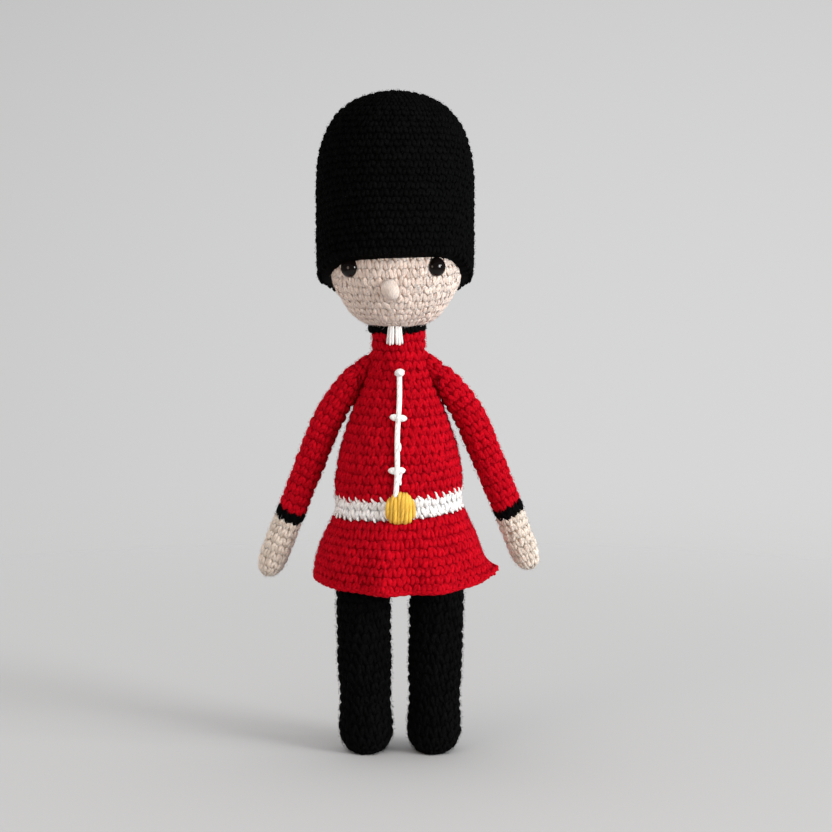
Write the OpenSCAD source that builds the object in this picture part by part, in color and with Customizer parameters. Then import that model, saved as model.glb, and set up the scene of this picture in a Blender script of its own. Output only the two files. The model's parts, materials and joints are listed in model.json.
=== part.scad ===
// Toy soldier figure: a crocheted, stuffed doll in a tall black fur hat and a red coat.
// Millimetres. +Z up, the origin on the floor midway between the feet, the face looks along -Y.
// Left and right are the figure's own: its left arm and left leg lie on the +X side.

/* [Yarn] */
// Thickness of the crocheted fabric
fabric = 2.6; // [2:0.1:3]
// Thickness of the white cord and of the yarn in the knots
cord_d = 2.4; // [1.8:0.1:3]
// Thickness of the yarn that sews an arm on
sewing_d = 1.6; // [1.2:0.1:2]
// Gap between a cover and the filling in it
fill_gap = 0.1; // [0.05:0.05:0.25]
// Gap between a limb and the body that it turns on
joint_gap = 0.3; // [0.2:0.05:0.5]
// Running gap around the sewing yarn
run_gap = 0.05; // [0.02:0.01:0.1]

/* [Legs] */
// Diameter of a leg
leg_d = 23.8; // [21:0.2:26]
// Distance between the centre lines of the legs
leg_spacing = 32.8; // [31:0.2:36]
// Height of the hip above the floor
hip_h = 92; // [80:1:104]
// Length of the flat of the sole, from front to back
sole_l = 22; // [20:0.2:23]
// Width of the flat of the sole
sole_w = 12; // [8:0.5:15]
// Height of the rounded front and back of the foot
toe_round_h = 4; // [3:0.5:6]
// Height of the rounded sides of the foot
foot_round_h = 9; // [7:0.5:11]
// Height of the ankle
ankle_h = 26; // [22:1:34]
// How far the leg draws in at the ankle
ankle_pinch = 0.7; // [0:0.1:1.5]

/* [Seat and skirt] */
// Height of the underside of the seat above the hip
seat_lift = 6.5; // [6:0.1:8]
// Rounding of the lower edge of the seat
seat_round = 5; // [3:0.5:7]
// Height of the belt's lower edge above the hip
belt_lift = 18.5; // [17.5:0.5:23]
// How far the skirt's top edge stands out past the belt
skirt_out = 0.9; // [0.6:0.1:1.4]
// Length of the skirt at the sides
skirt_l = 28.5; // [24:0.5:36]
// Diameter of the hem
hem_d = 78; // [72:1:88]
// How far the hem hangs lower in front and behind than at the sides
hem_dip = 5.7; // [0:0.1:8]
// Where the skirt's open edge lies, in degrees from the front to the figure's left
vent_at = 92; // [80:1:110]
// Width of the open edge at the hem, in degrees
vent_w = 5; // [2:0.5:10]
// How far the loose corner of the hem curls out
curl_out = 5; // [0:0.5:7]
// How far the loose corner of the hem curls up
curl_up = 3.5; // [0:0.5:5]

/* [Belt and buckle] */
// Diameter at the belt
waist_d = 57.8; // [54:0.2:62]
// Width of the belt
belt_w = 9; // [7:0.5:11]
// Width of the buckle
buckle_w = 12.4; // [10:0.2:14]
// Height of the buckle
buckle_h = 13; // [11:0.2:14]
// How far the buckle stands out from the belt
buckle_t = 5; // [4:0.1:6]
// How far the buckle lies to the figure's left
buckle_x = 1.1; // [0:0.1:2]

/* [Coat] */
// Height of the coat from the belt to the collar
coat_h = 71; // [66:0.5:78]
// Diameter of the neck
neck_d = 24.4; // [22:0.2:27]
// Height of the straight neck
neck_h = 7.5; // [6:0.5:10]
// How far the chest swells past the belt
chest_out = 1.1; // [0:0.1:2]
// Height over the belt at which the chest is fullest
chest_h = 21.5; // [18:0.5:25]
// Diameter that the shoulders slope to
shoulder_d = 37; // [35:0.5:39]
// Depth of the slope of the shoulders
shoulder_h = 18; // [15:0.5:21]
// Diameter of the collar
collar_d = 26.2; // [25.6:0.2:28]
// Height of the collar
collar_h = 4.2; // [3:0.1:5]
// Length of a tassel under the chin
tassel_l = 7; // [5:0.5:8]
// Distance between the tassels
tassel_gap = 4.2; // [4:0.1:5]
// How far the tassels lie to the figure's right
tassel_x = 1.6; // [0:0.1:2.5]

/* [Button cord] */
// Distance from the top of the collar to the top knot
cord_drop = 18.5; // [16:0.5:22]
// How far the cord leans to the figure's right at its foot
cord_lean = 2.3; // [0:0.1:3]
// Distance from the top knot to the middle knot
knot_1 = 19.8; // [16:0.2:22]
// Distance from the middle knot to the lower knot
knot_2 = 23.4; // [18:0.2:25]
// Width of a knot
knot_w = 7.4; // [6:0.2:9]

/* [Head] */
// Diameter of the head
head_d = 59; // [56:0.5:62]
// How far the face turns to the figure's right, in degrees
face_turn = 4; // [0:0.5:8]
// Diameter of an eye
eye_d = 7.5; // [6:0.5:9]
// How far an eye stands out
eye_h = 3.4; // [2.6:0.1:4]
// Angle of an eye from the middle of the face, in degrees
eye_spread = 42; // [36:0.5:46]
// Angle of an eye over the middle of the head, in degrees
eye_lift = 5.8; // [3:0.2:7]
// Diameter of the post of an eye
post_d = 3; // [2.4:0.1:3.4]
// Length of the post of an eye
post_l = 9; // [8:0.5:12]
// Diameter of the washer on an eye's post
washer_d = 9; // [8:0.5:11]
// Thickness of the washer
washer_t = 1.4; // [1:0.1:2]
// Width of the nose
nose_w = 8.2; // [6.5:0.1:9.5]
// Length of the nose
nose_l = 9.4; // [8:0.1:11]
// Angle of the nose under the middle of the head, in degrees
nose_drop = 11; // [8:0.5:15]
// Lean of the nose, in degrees
nose_lean = 18; // [0:1:30]

/* [Hat] */
// Diameter of the hat
hat_d = 71.4; // [70:0.2:76]
// Height of the crown over the middle of the head
crown_h = 80; // [70:1:95]
// Height of the rounded part of the crown
crown_round = 46; // [36:1:54]
// How far the rim lies under the middle of the head at the sides
rim_drop = 3.4; // [2:0.2:6]
// Slope of the rim from the front down to the back, in degrees
rim_tilt = 21; // [14:0.5:23]
// How far the hat draws in at the back of the rim
hat_tuck = 5.4; // [3:0.2:6]

/* [Arms] */
// Diameter of a sleeve
sleeve_d = 12.6; // [11.6:0.2:13.6]
// Diameter of the wrist
wrist_d = 12.2; // [11.4:0.2:13]
// Depth of the shoulder joint under the foot of the neck
shoulder_drop = 10.8; // [9:0.2:13]
// How far the middle of the arm's end lies out from the coat
shoulder_out = 3.4; // [2.6:0.1:4.4]
// Radius of the small yoke under the arm's end
yoke_r = 5.8; // [5:0.1:6.4]
// Slant of the arm at the shoulder, in degrees from straight down
arm_start = 41; // [38:0.5:46]
// Slant of the lower arm, in degrees from straight down
arm_hang = 21.4; // [18:0.2:26]
// Length of the bent part of the arm
arm_bend = 30; // [27:0.5:34]
// Length of the straight part of the sleeve
sleeve_l = 37.4; // [32:0.2:44]
// Width of the cuff
cuff_w = 4; // [3:0.1:5]
// Length of a hand
hand_l = 29; // [25:0.5:33]
// Diameter of a hand
hand_d = 13.4; // [12.4:0.2:14.4]

/* [Hidden] */
$fn = 72;
leg_r = leg_d / 2;
leg_x = leg_spacing / 2;
waist_r = waist_d / 2;
neck_r = neck_d / 2;
neck_in = neck_r - fabric;
collar_r = collar_d / 2;
head_r = head_d / 2;
hat_r = hat_d / 2;
sleeve_r = sleeve_d / 2;
wrist_r = wrist_d / 2;
hand_r = hand_d / 2;
cord_r = cord_d / 2;
belt_z = hip_h + belt_lift;
coat_z = belt_z + belt_w;
neck_top = coat_z + coat_h;
slope_z = neck_top - neck_h;
collar_top = neck_top + collar_h;
head_z = collar_top + sqrt(pow(head_r, 2) - pow(collar_r, 2));
plug_z = head_z - sqrt(pow(head_r - fabric, 2) - pow(neck_in, 2));
skirt_top_r = waist_r + skirt_out;
seat_r = skirt_top_r - fabric - fill_gap;
seat_z = hip_h + seat_lift;
crown_z = head_z + crown_h;
rim_z = head_z - rim_drop;
rim_low = rim_z - (hat_r + 6) * tan(rim_tilt);
pivot_z = slope_z - shoulder_drop;
bend_r = arm_bend / ((arm_start - arm_hang) * PI / 180);
// How far the straight part of the arm runs into the bent part, and how much slimmer that one is
lap = 0.6;
slim = 0.2;
buckle_z = belt_z + belt_w / 2 + 1;

// A curve with two ends and two points that steer it
function bend(p, t) =
    pow(1 - t, 3) * p[0] + 3 * pow(1 - t, 2) * t * p[1] + 3 * (1 - t) * t * t * p[2] + pow(t, 3) * p[3];
function coat_up(t) = bend([coat_z, coat_z + chest_h, slope_z - shoulder_h, slope_z], t);
function coat_out(t) = bend([waist_r, waist_r + chest_out, shoulder_d / 2, neck_r], t);
// The place on the coat's curve at height z
function coat_t(z, lo = 0, hi = 1, n = 26) =
    n == 0 ? (lo + hi) / 2
    : coat_up((lo + hi) / 2) < z ? coat_t(z, (lo + hi) / 2, hi, n - 1)
    : coat_t(z, lo, (lo + hi) / 2, n - 1);
function coat_r(z) = z >= slope_z ? neck_r : z <= coat_z ? waist_r : coat_out(coat_t(z));

pivot_r = coat_r(pivot_z);
pivot_x = pivot_r + shoulder_out;
bend_x = pivot_x - bend_r * cos(arm_start);
bend_z = pivot_z - bend_r * sin(arm_start);
elbow_x = bend_x + bend_r * cos(arm_hang);
elbow_z = bend_z + bend_r * sin(arm_hang);

// A point of the skirt: a runs in degrees from the front to the figure's left, t from the belt to the hem
function curl(a, t) = exp(-pow((vent_at - 8 - a) / 13, 2)) * pow(max(0, (t - 0.6) / 0.4), 2);
function skirt_r(a, t) = skirt_top_r + (hem_d / 2 - skirt_top_r) * sin(90 * t) + curl_out * curl(a, t);
function skirt_z(a, t) = belt_z - t * (skirt_l + hem_dip * pow(cos(a), 2)) + curl_up * curl(a, t);
function skirt_at(a, t, inset) = [
    (skirt_r(a, t) - inset) * sin(a),
    -(skirt_r(a, t) - inset) * cos(a),
    skirt_z(a, t)
];

// Outline of a leg, drawn in by inset
function leg_out(z, inset) = leg_r - inset - ankle_pinch * exp(-pow((z - ankle_h) / 9, 2));
function leg_line(inset) = concat(
    [[0, inset], [sole_l / 2 - inset, inset]],
    [for (a = [15 : 15 : 75]) [
        sole_l / 2 - inset + (leg_r - sole_l / 2) * sin(a),
        inset + toe_round_h * (1 - cos(a))
    ]],
    [for (z = [foot_round_h : 4 : hip_h - 30]) [leg_out(z, inset), z]],
    [[leg_r - inset, hip_h - 26]],
    [for (a = [0 : 9 : 90]) [(leg_r - inset) * cos(a), hip_h + (leg_r - inset) * sin(a)]]
);

// Front outline of the foot, drawn in by inset: the oval sole is narrower than it is long
function foot_side(inset) = concat(
    [[sole_w / 2, inset]],
    [for (a = [15 : 15 : 90]) [
        sole_w / 2 + (leg_r + 0.6 - inset - sole_w / 2) * sin(a),
        inset + (foot_round_h + 1.5 - inset) * (1 - cos(a))
    ]],
    [[leg_r + 2, foot_round_h + 3], [leg_r + 2, hip_h + leg_r + 2]]
);

// Outline of the hat, drawn in by inset
function hat_low(z) = hat_r - hat_tuck * pow(max(0, (head_z - z) / (head_z - rim_low)), 2);
function hat_line(inset) = concat(
    [[0, rim_low - inset]],
    [for (i = [0 : 7]) let (z = rim_low - inset + (head_z + 8 - rim_low + inset) * i / 7)
        [hat_low(max(z, rim_low)) - 0.7 - inset, z]],
    [for (a = [0 : 5 : 90]) [
        (hat_r - inset) * pow(cos(a), 2 / 2.6),
        crown_z - crown_round + (crown_round - inset) * pow(sin(a), 2 / 2.6)
    ]]
);

// Outline of the straight part of the arm, drawn in by inset, from the bend to the finger tips
function hand_out(u, inset) = u < 0.5
    ? wrist_r - inset + (hand_r - wrist_r) * sin(180 * u)
    : (hand_r - inset) * pow(1 - pow((u - 0.5) / 0.5, 2.4), 1 / 2.4);
function arm_line(inset) = concat(
    [
        [0, -lap],
        [sleeve_r - inset - lap, -lap],
        [sleeve_r - inset, 0],
        [wrist_r - inset, sleeve_l],
        [wrist_r - inset, sleeve_l + cuff_w]
    ],
    [for (u = [0.1 : 0.1 : 0.5]) [hand_out(u, inset), sleeve_l + cuff_w + (hand_l - inset) * u]],
    [for (a = [15 : 15 : 90]) [
        (hand_r - inset) * pow(cos(a), 2 / 2.4),
        sleeve_l + cuff_w + (hand_l - inset) * (0.5 + 0.5 * pow(sin(a), 2 / 2.4))
    ]]
);

module lathe(line) {
    rotate_extrude() polygon(line);
}

// The coat with its neck, drawn in by inset and lengthened by more at both ends
module coat_shape(inset, more) {
    lathe(concat(
        [[0, coat_z - more], [waist_r - inset, coat_z - more]],
        [for (t = [0 : 0.05 : 1]) [coat_out(t) - inset, coat_up(t)]],
        [[neck_r - inset, neck_top + more], [0, neck_top + more]]
    ));
    translate([0, 0, pivot_z])
        rotate([0, 90, 0])
            cylinder(r = yoke_r - inset, h = 2 * (pivot_r - inset), center = true);
}

// The room that the coat takes up as the arm turns about the shoulder
module coat_sweep(gap) {
    line = [for (i = [0 : 12]) let (d = i * (pivot_z - coat_z) / 12) [d, coat_r(pivot_z - d) + gap]];
    translate([0, 0, pivot_z])
        rotate([0, 90, 0])
            lathe(concat([[0, 0]], line, [[pivot_z - coat_z, 0]]));
}

// Puts the straight part of the arm at the end of the bend
module at_elbow() {
    translate([elbow_x, 0, elbow_z])
        rotate([0, 180 - arm_hang, 0])
            children();
}

// The bent part of the arm with its round end
module arm_top(inset) {
    r = sleeve_r - inset;
    translate([bend_x, 0, bend_z])
        rotate([90, 0, 0])
            rotate([0, 0, arm_hang])
                rotate_extrude(angle = arm_start - arm_hang)
                    translate([bend_r, 0]) circle(r = r - slim);
    translate([pivot_x, 0, pivot_z])
        rotate([0, -arm_start, 0])
            lathe(concat(
                [[0, -lap], [r - lap, -lap]],
                [for (a = [0 : 9 : 90]) [r * cos(a), r * sin(a)]]
            ));
}

// The hollow of the arm, drawn in by inset from the outside
module arm_core(inset) {
    difference() {
        union() {
            arm_top(inset);
            at_elbow() lathe(arm_line(inset));
        }
        coat_sweep(joint_gap + inset);
    }
}

// The yarn that sews an arm on, with a knot at each end, widened by gap
module sewing(gap) {
    x0 = pivot_r - fabric - sewing_d - 0.2;
    x1 = pivot_r + joint_gap + fabric + sewing_d + 0.3;
    translate([x0, 0, pivot_z])
        rotate([0, 90, 0])
            cylinder(r = sewing_d / 2 + gap, h = x1 - x0);
    translate([x0, 0, pivot_z]) sphere(r = sewing_d + gap);
    translate([x1, 0, pivot_z]) sphere(r = sewing_d + gap);
}

// Leg sockets in the seat, widened by gap
module sockets(gap) {
    for (s = [-1, 1])
        translate([s * leg_x, 0, hip_h]) sphere(r = leg_r + joint_gap + gap);
}

// Takes away what lies under the hat's rim, raised by lift
module under_rim(lift) {
    translate([0, 0, rim_z + lift])
        rotate([-rim_tilt, 0, 0])
            translate([-100, -100, -120]) cube([200, 200, 120]);
}

// Turns +Z out through an eye of the face, s is 1 on the figure's left
module at_eye(s) {
    translate([0, 0, head_z])
        rotate([0, 0, -face_turn + s * eye_spread])
            rotate([90 - eye_lift, 0, 0])
                children();
}

function cord_at(z) = let (
    top = collar_top - cord_drop,
    low = buckle_z + buckle_h / 2,
    x = -cord_lean * (top - z) / (top - low),
    r = coat_r(z) + cord_r + fill_gap
) [x, -sqrt(r * r - x * x), z];

module cord_tube(r, z0, z1) {
    n = 16;
    m = 10;
    pts = [for (i = [0 : n], j = [0 : m - 1]) let (
        z = z0 + (z1 - z0) * i / n,
        d = cord_at(z + 0.2) - cord_at(z - 0.2),
        v = [0, d[2], -d[1]] / norm([0, d[2], -d[1]]),
        a = 360 * j / m
    ) cord_at(z) + r * cos(a) * [1, 0, 0] + r * sin(a) * v];
    sides = [for (i = [0 : n - 1], j = [0 : m - 1])
        [i * m + j, (i + 1) * m + j, (i + 1) * m + (j + 1) % m, i * m + (j + 1) % m]];
    ends = [[for (j = [0 : m - 1]) j], [for (j = [m - 1 : -1 : 0]) n * m + j]];
    polyhedron(pts, concat(sides, ends));
}

// A leg with its oval sole, drawn in by inset
module leg_shape(inset) {
    side = foot_side(inset);
    intersection() {
        lathe(leg_line(inset));
        rotate([90, 0, 0])
            linear_extrude(height = 4 * leg_r, center = true)
                polygon(concat(side, [for (i = [len(side) - 1 : -1 : 0]) [-side[i][0], side[i][1]]]));
    }
}

module leg_cover() {
    color("#15151a") difference() {
        leg_shape(0);
        leg_shape(fabric);
    }
}

module leg_filling() {
    color("#f2f0ea") leg_shape(fabric + fill_gap);
}

module left_leg_cover() {
    translate([leg_x, 0, 0]) leg_cover();
}

module left_leg_filling() {
    translate([leg_x, 0, 0]) leg_filling();
}

module right_leg_cover() {
    translate([-leg_x, 0, 0]) leg_cover();
}

module right_leg_filling() {
    translate([-leg_x, 0, 0]) leg_filling();
}

// The seat between the legs and the belt, drawn in by inset, up to height top
module seat_shape(inset, top) {
    difference() {
        lathe(concat(
            [[0, seat_z + inset], [seat_r - seat_round, seat_z + inset]],
            [for (a = [-75 : 15 : 0]) [
                seat_r - seat_round + (seat_round - inset) * cos(a),
                seat_z + seat_round + (seat_round - inset) * sin(a)
            ]],
            [[seat_r - inset, top], [0, top]]
        ));
        sockets(inset);
    }
}

module seat_cover() {
    color("#15151a") difference() {
        seat_shape(0, belt_z);
        seat_shape(fabric, belt_z + 1);
    }
}

module coat_skirt() {
    n = 54;
    m = 8;
    a0 = vent_at;
    step = function (j, t) a0 + vent_w * t / 2 + 0.3 + (360 - vent_w * t - 0.6) * j / n;
    side = function (inset) [for (i = [0 : m], j = [0 : n]) skirt_at(step(j, i / m), i / m, inset)];
    w = n + 1;
    k = (m + 1) * w;
    outer = [for (i = [0 : m - 1], j = [0 : n - 1])
        each [[i * w + j, (i + 1) * w + j, i * w + j + 1],
            [i * w + j + 1, (i + 1) * w + j, (i + 1) * w + j + 1]]];
    inner = [for (f = outer) [f[2] + k, f[1] + k, f[0] + k]];
    top = [for (j = [0 : n - 1]) each [[j, j + 1, k + j], [j + 1, k + j + 1, k + j]]];
    hem = [for (j = [0 : n - 1]) let (b = m * w + j)
        each [[b, k + b, b + 1], [b + 1, k + b, k + b + 1]]];
    first = [for (i = [0 : m - 1]) let (b = i * w) each [[b, k + b, b + w], [b + w, k + b, k + b + w]]];
    last = [for (i = [0 : m - 1]) let (b = i * w + n) each [[b, b + w, k + b], [b + w, k + b + w, k + b]]];
    color("#b8101f") polyhedron(concat(side(0), side(fabric)), [
        for (f = concat(outer, inner, top, hem, first, last)) [f[2], f[1], f[0]]
    ]);
}

module belt() {
    color("#f0efec") translate([0, 0, belt_z]) difference() {
        cylinder(r = waist_r, h = belt_w);
        translate([0, 0, -1]) cylinder(r = waist_r - fabric, h = belt_w + 2);
    }
}

module buckle() {
    r = buckle_w / 2 - 2;
    color("#e0b14e") difference() {
        translate([buckle_x, -waist_r - buckle_t + r, buckle_z]) hull()
            for (x = [-1, 1], z = [-1, 1])
                translate([x * (buckle_w / 2 - r), 0, z * (buckle_h / 2 - r)]) sphere(r = r, $fn = 32);
        translate([0, 0, belt_z - belt_w]) cylinder(r = waist_r + fill_gap, h = 2 * belt_w + chest_out);
        translate([0, 0, coat_z - 0.2]) cylinder(r = waist_r + 1.4, h = belt_w);
        translate([0, 0, belt_z - belt_w]) cylinder(r = skirt_top_r + 1.5, h = belt_w + 0.2);
    }
}

module coat_cover() {
    color("#c0121f") difference() {
        coat_shape(0, 0);
        coat_shape(fabric, 1);
        sewing(run_gap);
        mirror([1, 0, 0]) sewing(run_gap);
    }
}

module body_filling() {
    i = fabric + fill_gap;
    color("#f2f0ea") difference() {
        union() {
            seat_shape(i, belt_z + 0.5);
            translate([0, 0, belt_z + fill_gap]) cylinder(r = waist_r - i, h = belt_w);
            coat_shape(i, 0);
            translate([0, 0, neck_top - 1]) cylinder(r = neck_in - fill_gap, h = plug_z - neck_top + 1);
        }
        sewing(run_gap);
        mirror([1, 0, 0]) sewing(run_gap);
    }
}

module button_cord() {
    color("#f0efec") cord_tube(cord_r, buckle_z + buckle_h / 2 + 0.2, collar_top - cord_drop);
}

module knot_shape(w, h) {
    rotate([0, 90, 0])
        lathe([for (a = [-90 : 15 : 90]) [h / 2 * cos(a), w / 2 * sin(a)]]);
}

module button_knots() {
    top = collar_top - cord_drop;
    h = cord_d * 1.5;
    color("#f0efec") difference() {
        union() {
            translate(cord_at(top) + [0, -cord_r, 0.3]) knot_shape(h * 1.3, h * 1.15);
            translate(cord_at(top - knot_1) + [0, -cord_r, 0]) knot_shape(knot_w, h);
            translate(cord_at(top - knot_1 - knot_2) + [0, -cord_r, 0]) knot_shape(knot_w, h);
        }
        cord_tube(cord_r + fill_gap, buckle_z + buckle_h / 2 + 0.2, top + 4);
        lathe(concat(
            [[0, coat_z]],
            [for (t = [0 : 0.05 : 1]) [coat_out(t) + fill_gap, coat_up(t)]],
            [[0, slope_z]]
        ));
    }
}

module collar() {
    color("#15151a") translate([0, 0, neck_top]) difference() {
        cylinder(r = collar_r, h = collar_h);
        translate([0, 0, -1]) cylinder(r = neck_in, h = collar_h + 2);
    }
}

module tassel(s) {
    y = -collar_r - 1.05;
    color("#f0efec") hull() {
        translate([s * 0.3, y, collar_top - 1.2]) sphere(r = 1, $fn = 24);
        for (x = [-0.7, 0.7])
            translate([s * 0.6 + x, y, collar_top - tassel_l + 1]) sphere(r = 1, $fn = 24);
    }
}

module left_tassel() {
    translate([tassel_gap / 2 - tassel_x, 0, 0]) tassel(1);
}

module right_tassel() {
    translate([-tassel_gap / 2 - tassel_x, 0, 0]) tassel(-1);
}

module left_sleeve() {
    color("#c0121f") difference() {
        union() {
            arm_top(0);
            at_elbow() intersection() {
                lathe(arm_line(0));
                translate([0, 0, -1]) cylinder(r = hand_r * 2, h = sleeve_l + 1);
            }
        }
        coat_sweep(joint_gap);
        arm_core(fabric);
        sewing(run_gap);
    }
}

module left_cuff() {
    color("#15151a") difference() {
        at_elbow() translate([0, 0, sleeve_l]) cylinder(r = wrist_r, h = cuff_w);
        arm_core(fabric);
    }
}

module left_hand() {
    color("#d8c4b4") difference() {
        at_elbow() difference() {
            lathe(arm_line(0));
            translate([0, 0, -1]) cylinder(r = hand_r * 2, h = sleeve_l + cuff_w + 1);
        }
        arm_core(fabric);
    }
}

module left_arm_filling() {
    color("#f2f0ea") difference() {
        arm_core(fabric + fill_gap);
        sewing(run_gap);
    }
}

module left_sewing_yarn() {
    color("#c0121f") sewing(0);
}

module right_sleeve() {
    mirror([1, 0, 0]) left_sleeve();
}

module right_cuff() {
    mirror([1, 0, 0]) left_cuff();
}

module right_hand() {
    mirror([1, 0, 0]) left_hand();
}

module right_arm_filling() {
    mirror([1, 0, 0]) left_arm_filling();
}

module right_sewing_yarn() {
    mirror([1, 0, 0]) left_sewing_yarn();
}

module head_cover() {
    color("#dcc6b8") difference() {
        translate([0, 0, head_z]) sphere(r = head_r);
        translate([0, 0, head_z]) sphere(r = head_r - fabric);
        translate([0, 0, collar_top - head_r]) cylinder(r = head_r, h = head_r);
        translate([0, 0, collar_top - 1]) cylinder(r = neck_in, h = plug_z - collar_top + 2);
        at_eye(1) cylinder(r = post_d / 2 + run_gap, h = head_r + 1);
        at_eye(-1) cylinder(r = post_d / 2 + run_gap, h = head_r + 1);
    }
}

// Where the back of a washer lies along the post of an eye
washer_out = sqrt(pow(head_r - fabric, 2) - pow(washer_d / 2 + fill_gap, 2));

module head_filling() {
    color("#f2f0ea") difference() {
        translate([0, 0, head_z]) sphere(r = head_r - fabric - fill_gap);
        translate([0, 0, plug_z + fill_gap - head_r]) cylinder(r = head_r, h = head_r);
        for (s = [-1, 1]) {
            at_eye(s) translate([0, 0, washer_out - washer_t - fill_gap])
                cylinder(r = washer_d / 2 + fill_gap, h = washer_t + 5);
            at_eye(s) translate([0, 0, head_r - post_l - fill_gap])
                cylinder(r = post_d / 2 + fill_gap, h = post_l);
        }
    }
}

module eye() {
    e = eye_d / 2;
    color("#0c0a0a") {
        translate([0, 0, head_r - post_l]) cylinder(r = post_d / 2, h = post_l + 0.5);
        translate([0, 0, head_r + 0.05]) lathe(concat(
            [[0, 0], [e - 0.3, 0], [e, 0.4]],
            [for (a = [10 : 10 : 90]) [e * cos(a), 0.4 + (eye_h - 0.4) * sin(a)]]
        ));
    }
}

module washer() {
    color("#e8e8e6") translate([0, 0, washer_out - washer_t]) difference() {
        cylinder(r = washer_d / 2, h = washer_t);
        translate([0, 0, -1]) cylinder(r = post_d / 2 + run_gap, h = washer_t + 2);
    }
}

module left_eye() {
    at_eye(1) eye();
}

module left_eye_washer() {
    at_eye(1) washer();
}

module right_eye() {
    at_eye(-1) eye();
}

module right_eye_washer() {
    at_eye(-1) washer();
}

module nose() {
    color("#e2cdbf") difference() {
        translate([0, 0, head_z])
            rotate([0, 0, -face_turn])
                rotate([nose_drop, 0, 0])
                    translate([0, -head_r - 0.6, 0])
                        rotate([0, nose_lean, 0])
                            lathe([for (a = [-90 : 10 : 90]) [
                                nose_w / 2 * cos(a) * (1 + 0.16 * sin(a)),
                                nose_l / 2 * sin(a)
                            ]]);
        translate([0, 0, head_z]) sphere(r = head_r + fill_gap);
    }
}

module hat_cover() {
    color("#101013") difference() {
        lathe(hat_line(0));
        lathe(hat_line(fabric));
        under_rim(0);
    }
}

module hat_filling() {
    color("#f2f0ea") difference() {
        lathe(hat_line(fabric + fill_gap));
        under_rim(5);
        translate([0, 0, head_z]) sphere(r = head_r + fill_gap);
    }
}

left_leg_cover();
left_leg_filling();
right_leg_cover();
right_leg_filling();
seat_cover();
coat_skirt();
belt();
buckle();
coat_cover();
body_filling();
button_cord();
button_knots();
collar();
left_tassel();
right_tassel();
left_sleeve();
left_cuff();
left_hand();
left_arm_filling();
left_sewing_yarn();
right_sleeve();
right_cuff();
right_hand();
right_arm_filling();
right_sewing_yarn();
head_cover();
head_filling();
nose();
left_eye();
left_eye_washer();
right_eye();
right_eye_washer();
hat_cover();
hat_filling();
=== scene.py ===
"""Looks of a crocheted guard doll: yarn covers, cord, buckle, eyes and a studio stage."""
import json
import math

import bpy
import numpy as np
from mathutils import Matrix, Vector

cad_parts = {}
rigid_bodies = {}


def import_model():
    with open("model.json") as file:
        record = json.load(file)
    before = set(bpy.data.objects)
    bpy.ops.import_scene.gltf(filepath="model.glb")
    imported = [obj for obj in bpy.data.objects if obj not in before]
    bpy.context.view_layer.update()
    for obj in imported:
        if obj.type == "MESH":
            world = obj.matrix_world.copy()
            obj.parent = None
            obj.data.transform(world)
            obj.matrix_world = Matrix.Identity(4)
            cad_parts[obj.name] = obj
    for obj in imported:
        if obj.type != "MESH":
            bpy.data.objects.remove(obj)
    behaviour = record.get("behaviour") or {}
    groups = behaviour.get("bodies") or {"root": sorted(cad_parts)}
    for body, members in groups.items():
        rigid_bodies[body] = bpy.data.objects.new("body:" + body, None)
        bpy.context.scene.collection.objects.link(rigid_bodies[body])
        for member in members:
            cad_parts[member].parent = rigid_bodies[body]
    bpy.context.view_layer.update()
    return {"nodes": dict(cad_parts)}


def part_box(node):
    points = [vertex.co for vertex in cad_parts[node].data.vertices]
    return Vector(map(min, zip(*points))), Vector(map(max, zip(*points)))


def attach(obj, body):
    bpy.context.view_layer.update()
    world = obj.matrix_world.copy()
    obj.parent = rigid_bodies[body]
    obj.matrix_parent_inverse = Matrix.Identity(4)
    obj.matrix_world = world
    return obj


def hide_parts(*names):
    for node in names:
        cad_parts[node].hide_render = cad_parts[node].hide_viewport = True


bl_info = {
    "name": "Crocheted guard doll",
    "version": (1, 0, 0),
    "blender": (4, 5, 0),
    "location": "View3D > Sidebar > Guard",
    "description": "Dresses a stuffed guard doll in crocheted yarn",
    "category": "Object",
}

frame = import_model()
MM = 0.001
TAU = 2 * math.pi
UP, FRONT = (0, 0, 1), (0, -1, 0)
SIDES = (("left", 1), ("right", -1))
HEAD_HIGH, HAT_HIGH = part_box("head_cover")[1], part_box("hat_cover")[1]
BELT_LOW, BELT_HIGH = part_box("belt")
COLLAR_LOW, COLLAR_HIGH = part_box("collar")

# Widths of the narrower stitches, in metres
FINE_STITCH, SLEEVE_STITCH = 0.0036, 0.0041

# Number of different stitches, tiles of the bake map for yarn, the tile of the backing, and tiles per side
# The yarn shader darkens the backing's tile as painted shade in the pits between the stitches
STITCH_KINDS, STITCH_TILES, BACKING_TILE, TILES_ACROSS = 6, 48, 60.0, 8

# How far the neck is drawn up, and how far hat and head stand off the middle, in millimetres
NECK_LIFT = 2.3
HAT_SHIFT, HEAD_SHIFT = np.array([-1.5, 0, 0]), np.array([-1.0, 0, 0])

# Shoulder and elbow of the arm as x and z, and the shape of the upper arm, in millimetres
PIVOT, ELBOW = (19.6, 172.2), (35.06, 146.66)
SHOULDER_R, SHOULDER_TILT = 6.2, math.radians(41)
ARM_BEND_R = 87.7

# Points along the arm's middle line in the hand and in the cuff
HAND_STEPS, CUFF_STEPS = 25, 4

# Height of the knob on the button cord in millimetres, and the skirt's opening in degrees from the front
KNOB_Z = 176.2
SKIRT_OPENING = 92


def from_screen(r, g, b):
    """A colour as a screen shows it, from 0 to 255, in linear light."""
    return tuple(c / 12.92 if c <= 0.04045 else ((c + 0.055) / 1.055) ** 2.4
                 for c in (r / 255, g / 255, b / 255))


# Sizes and colours

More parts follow.
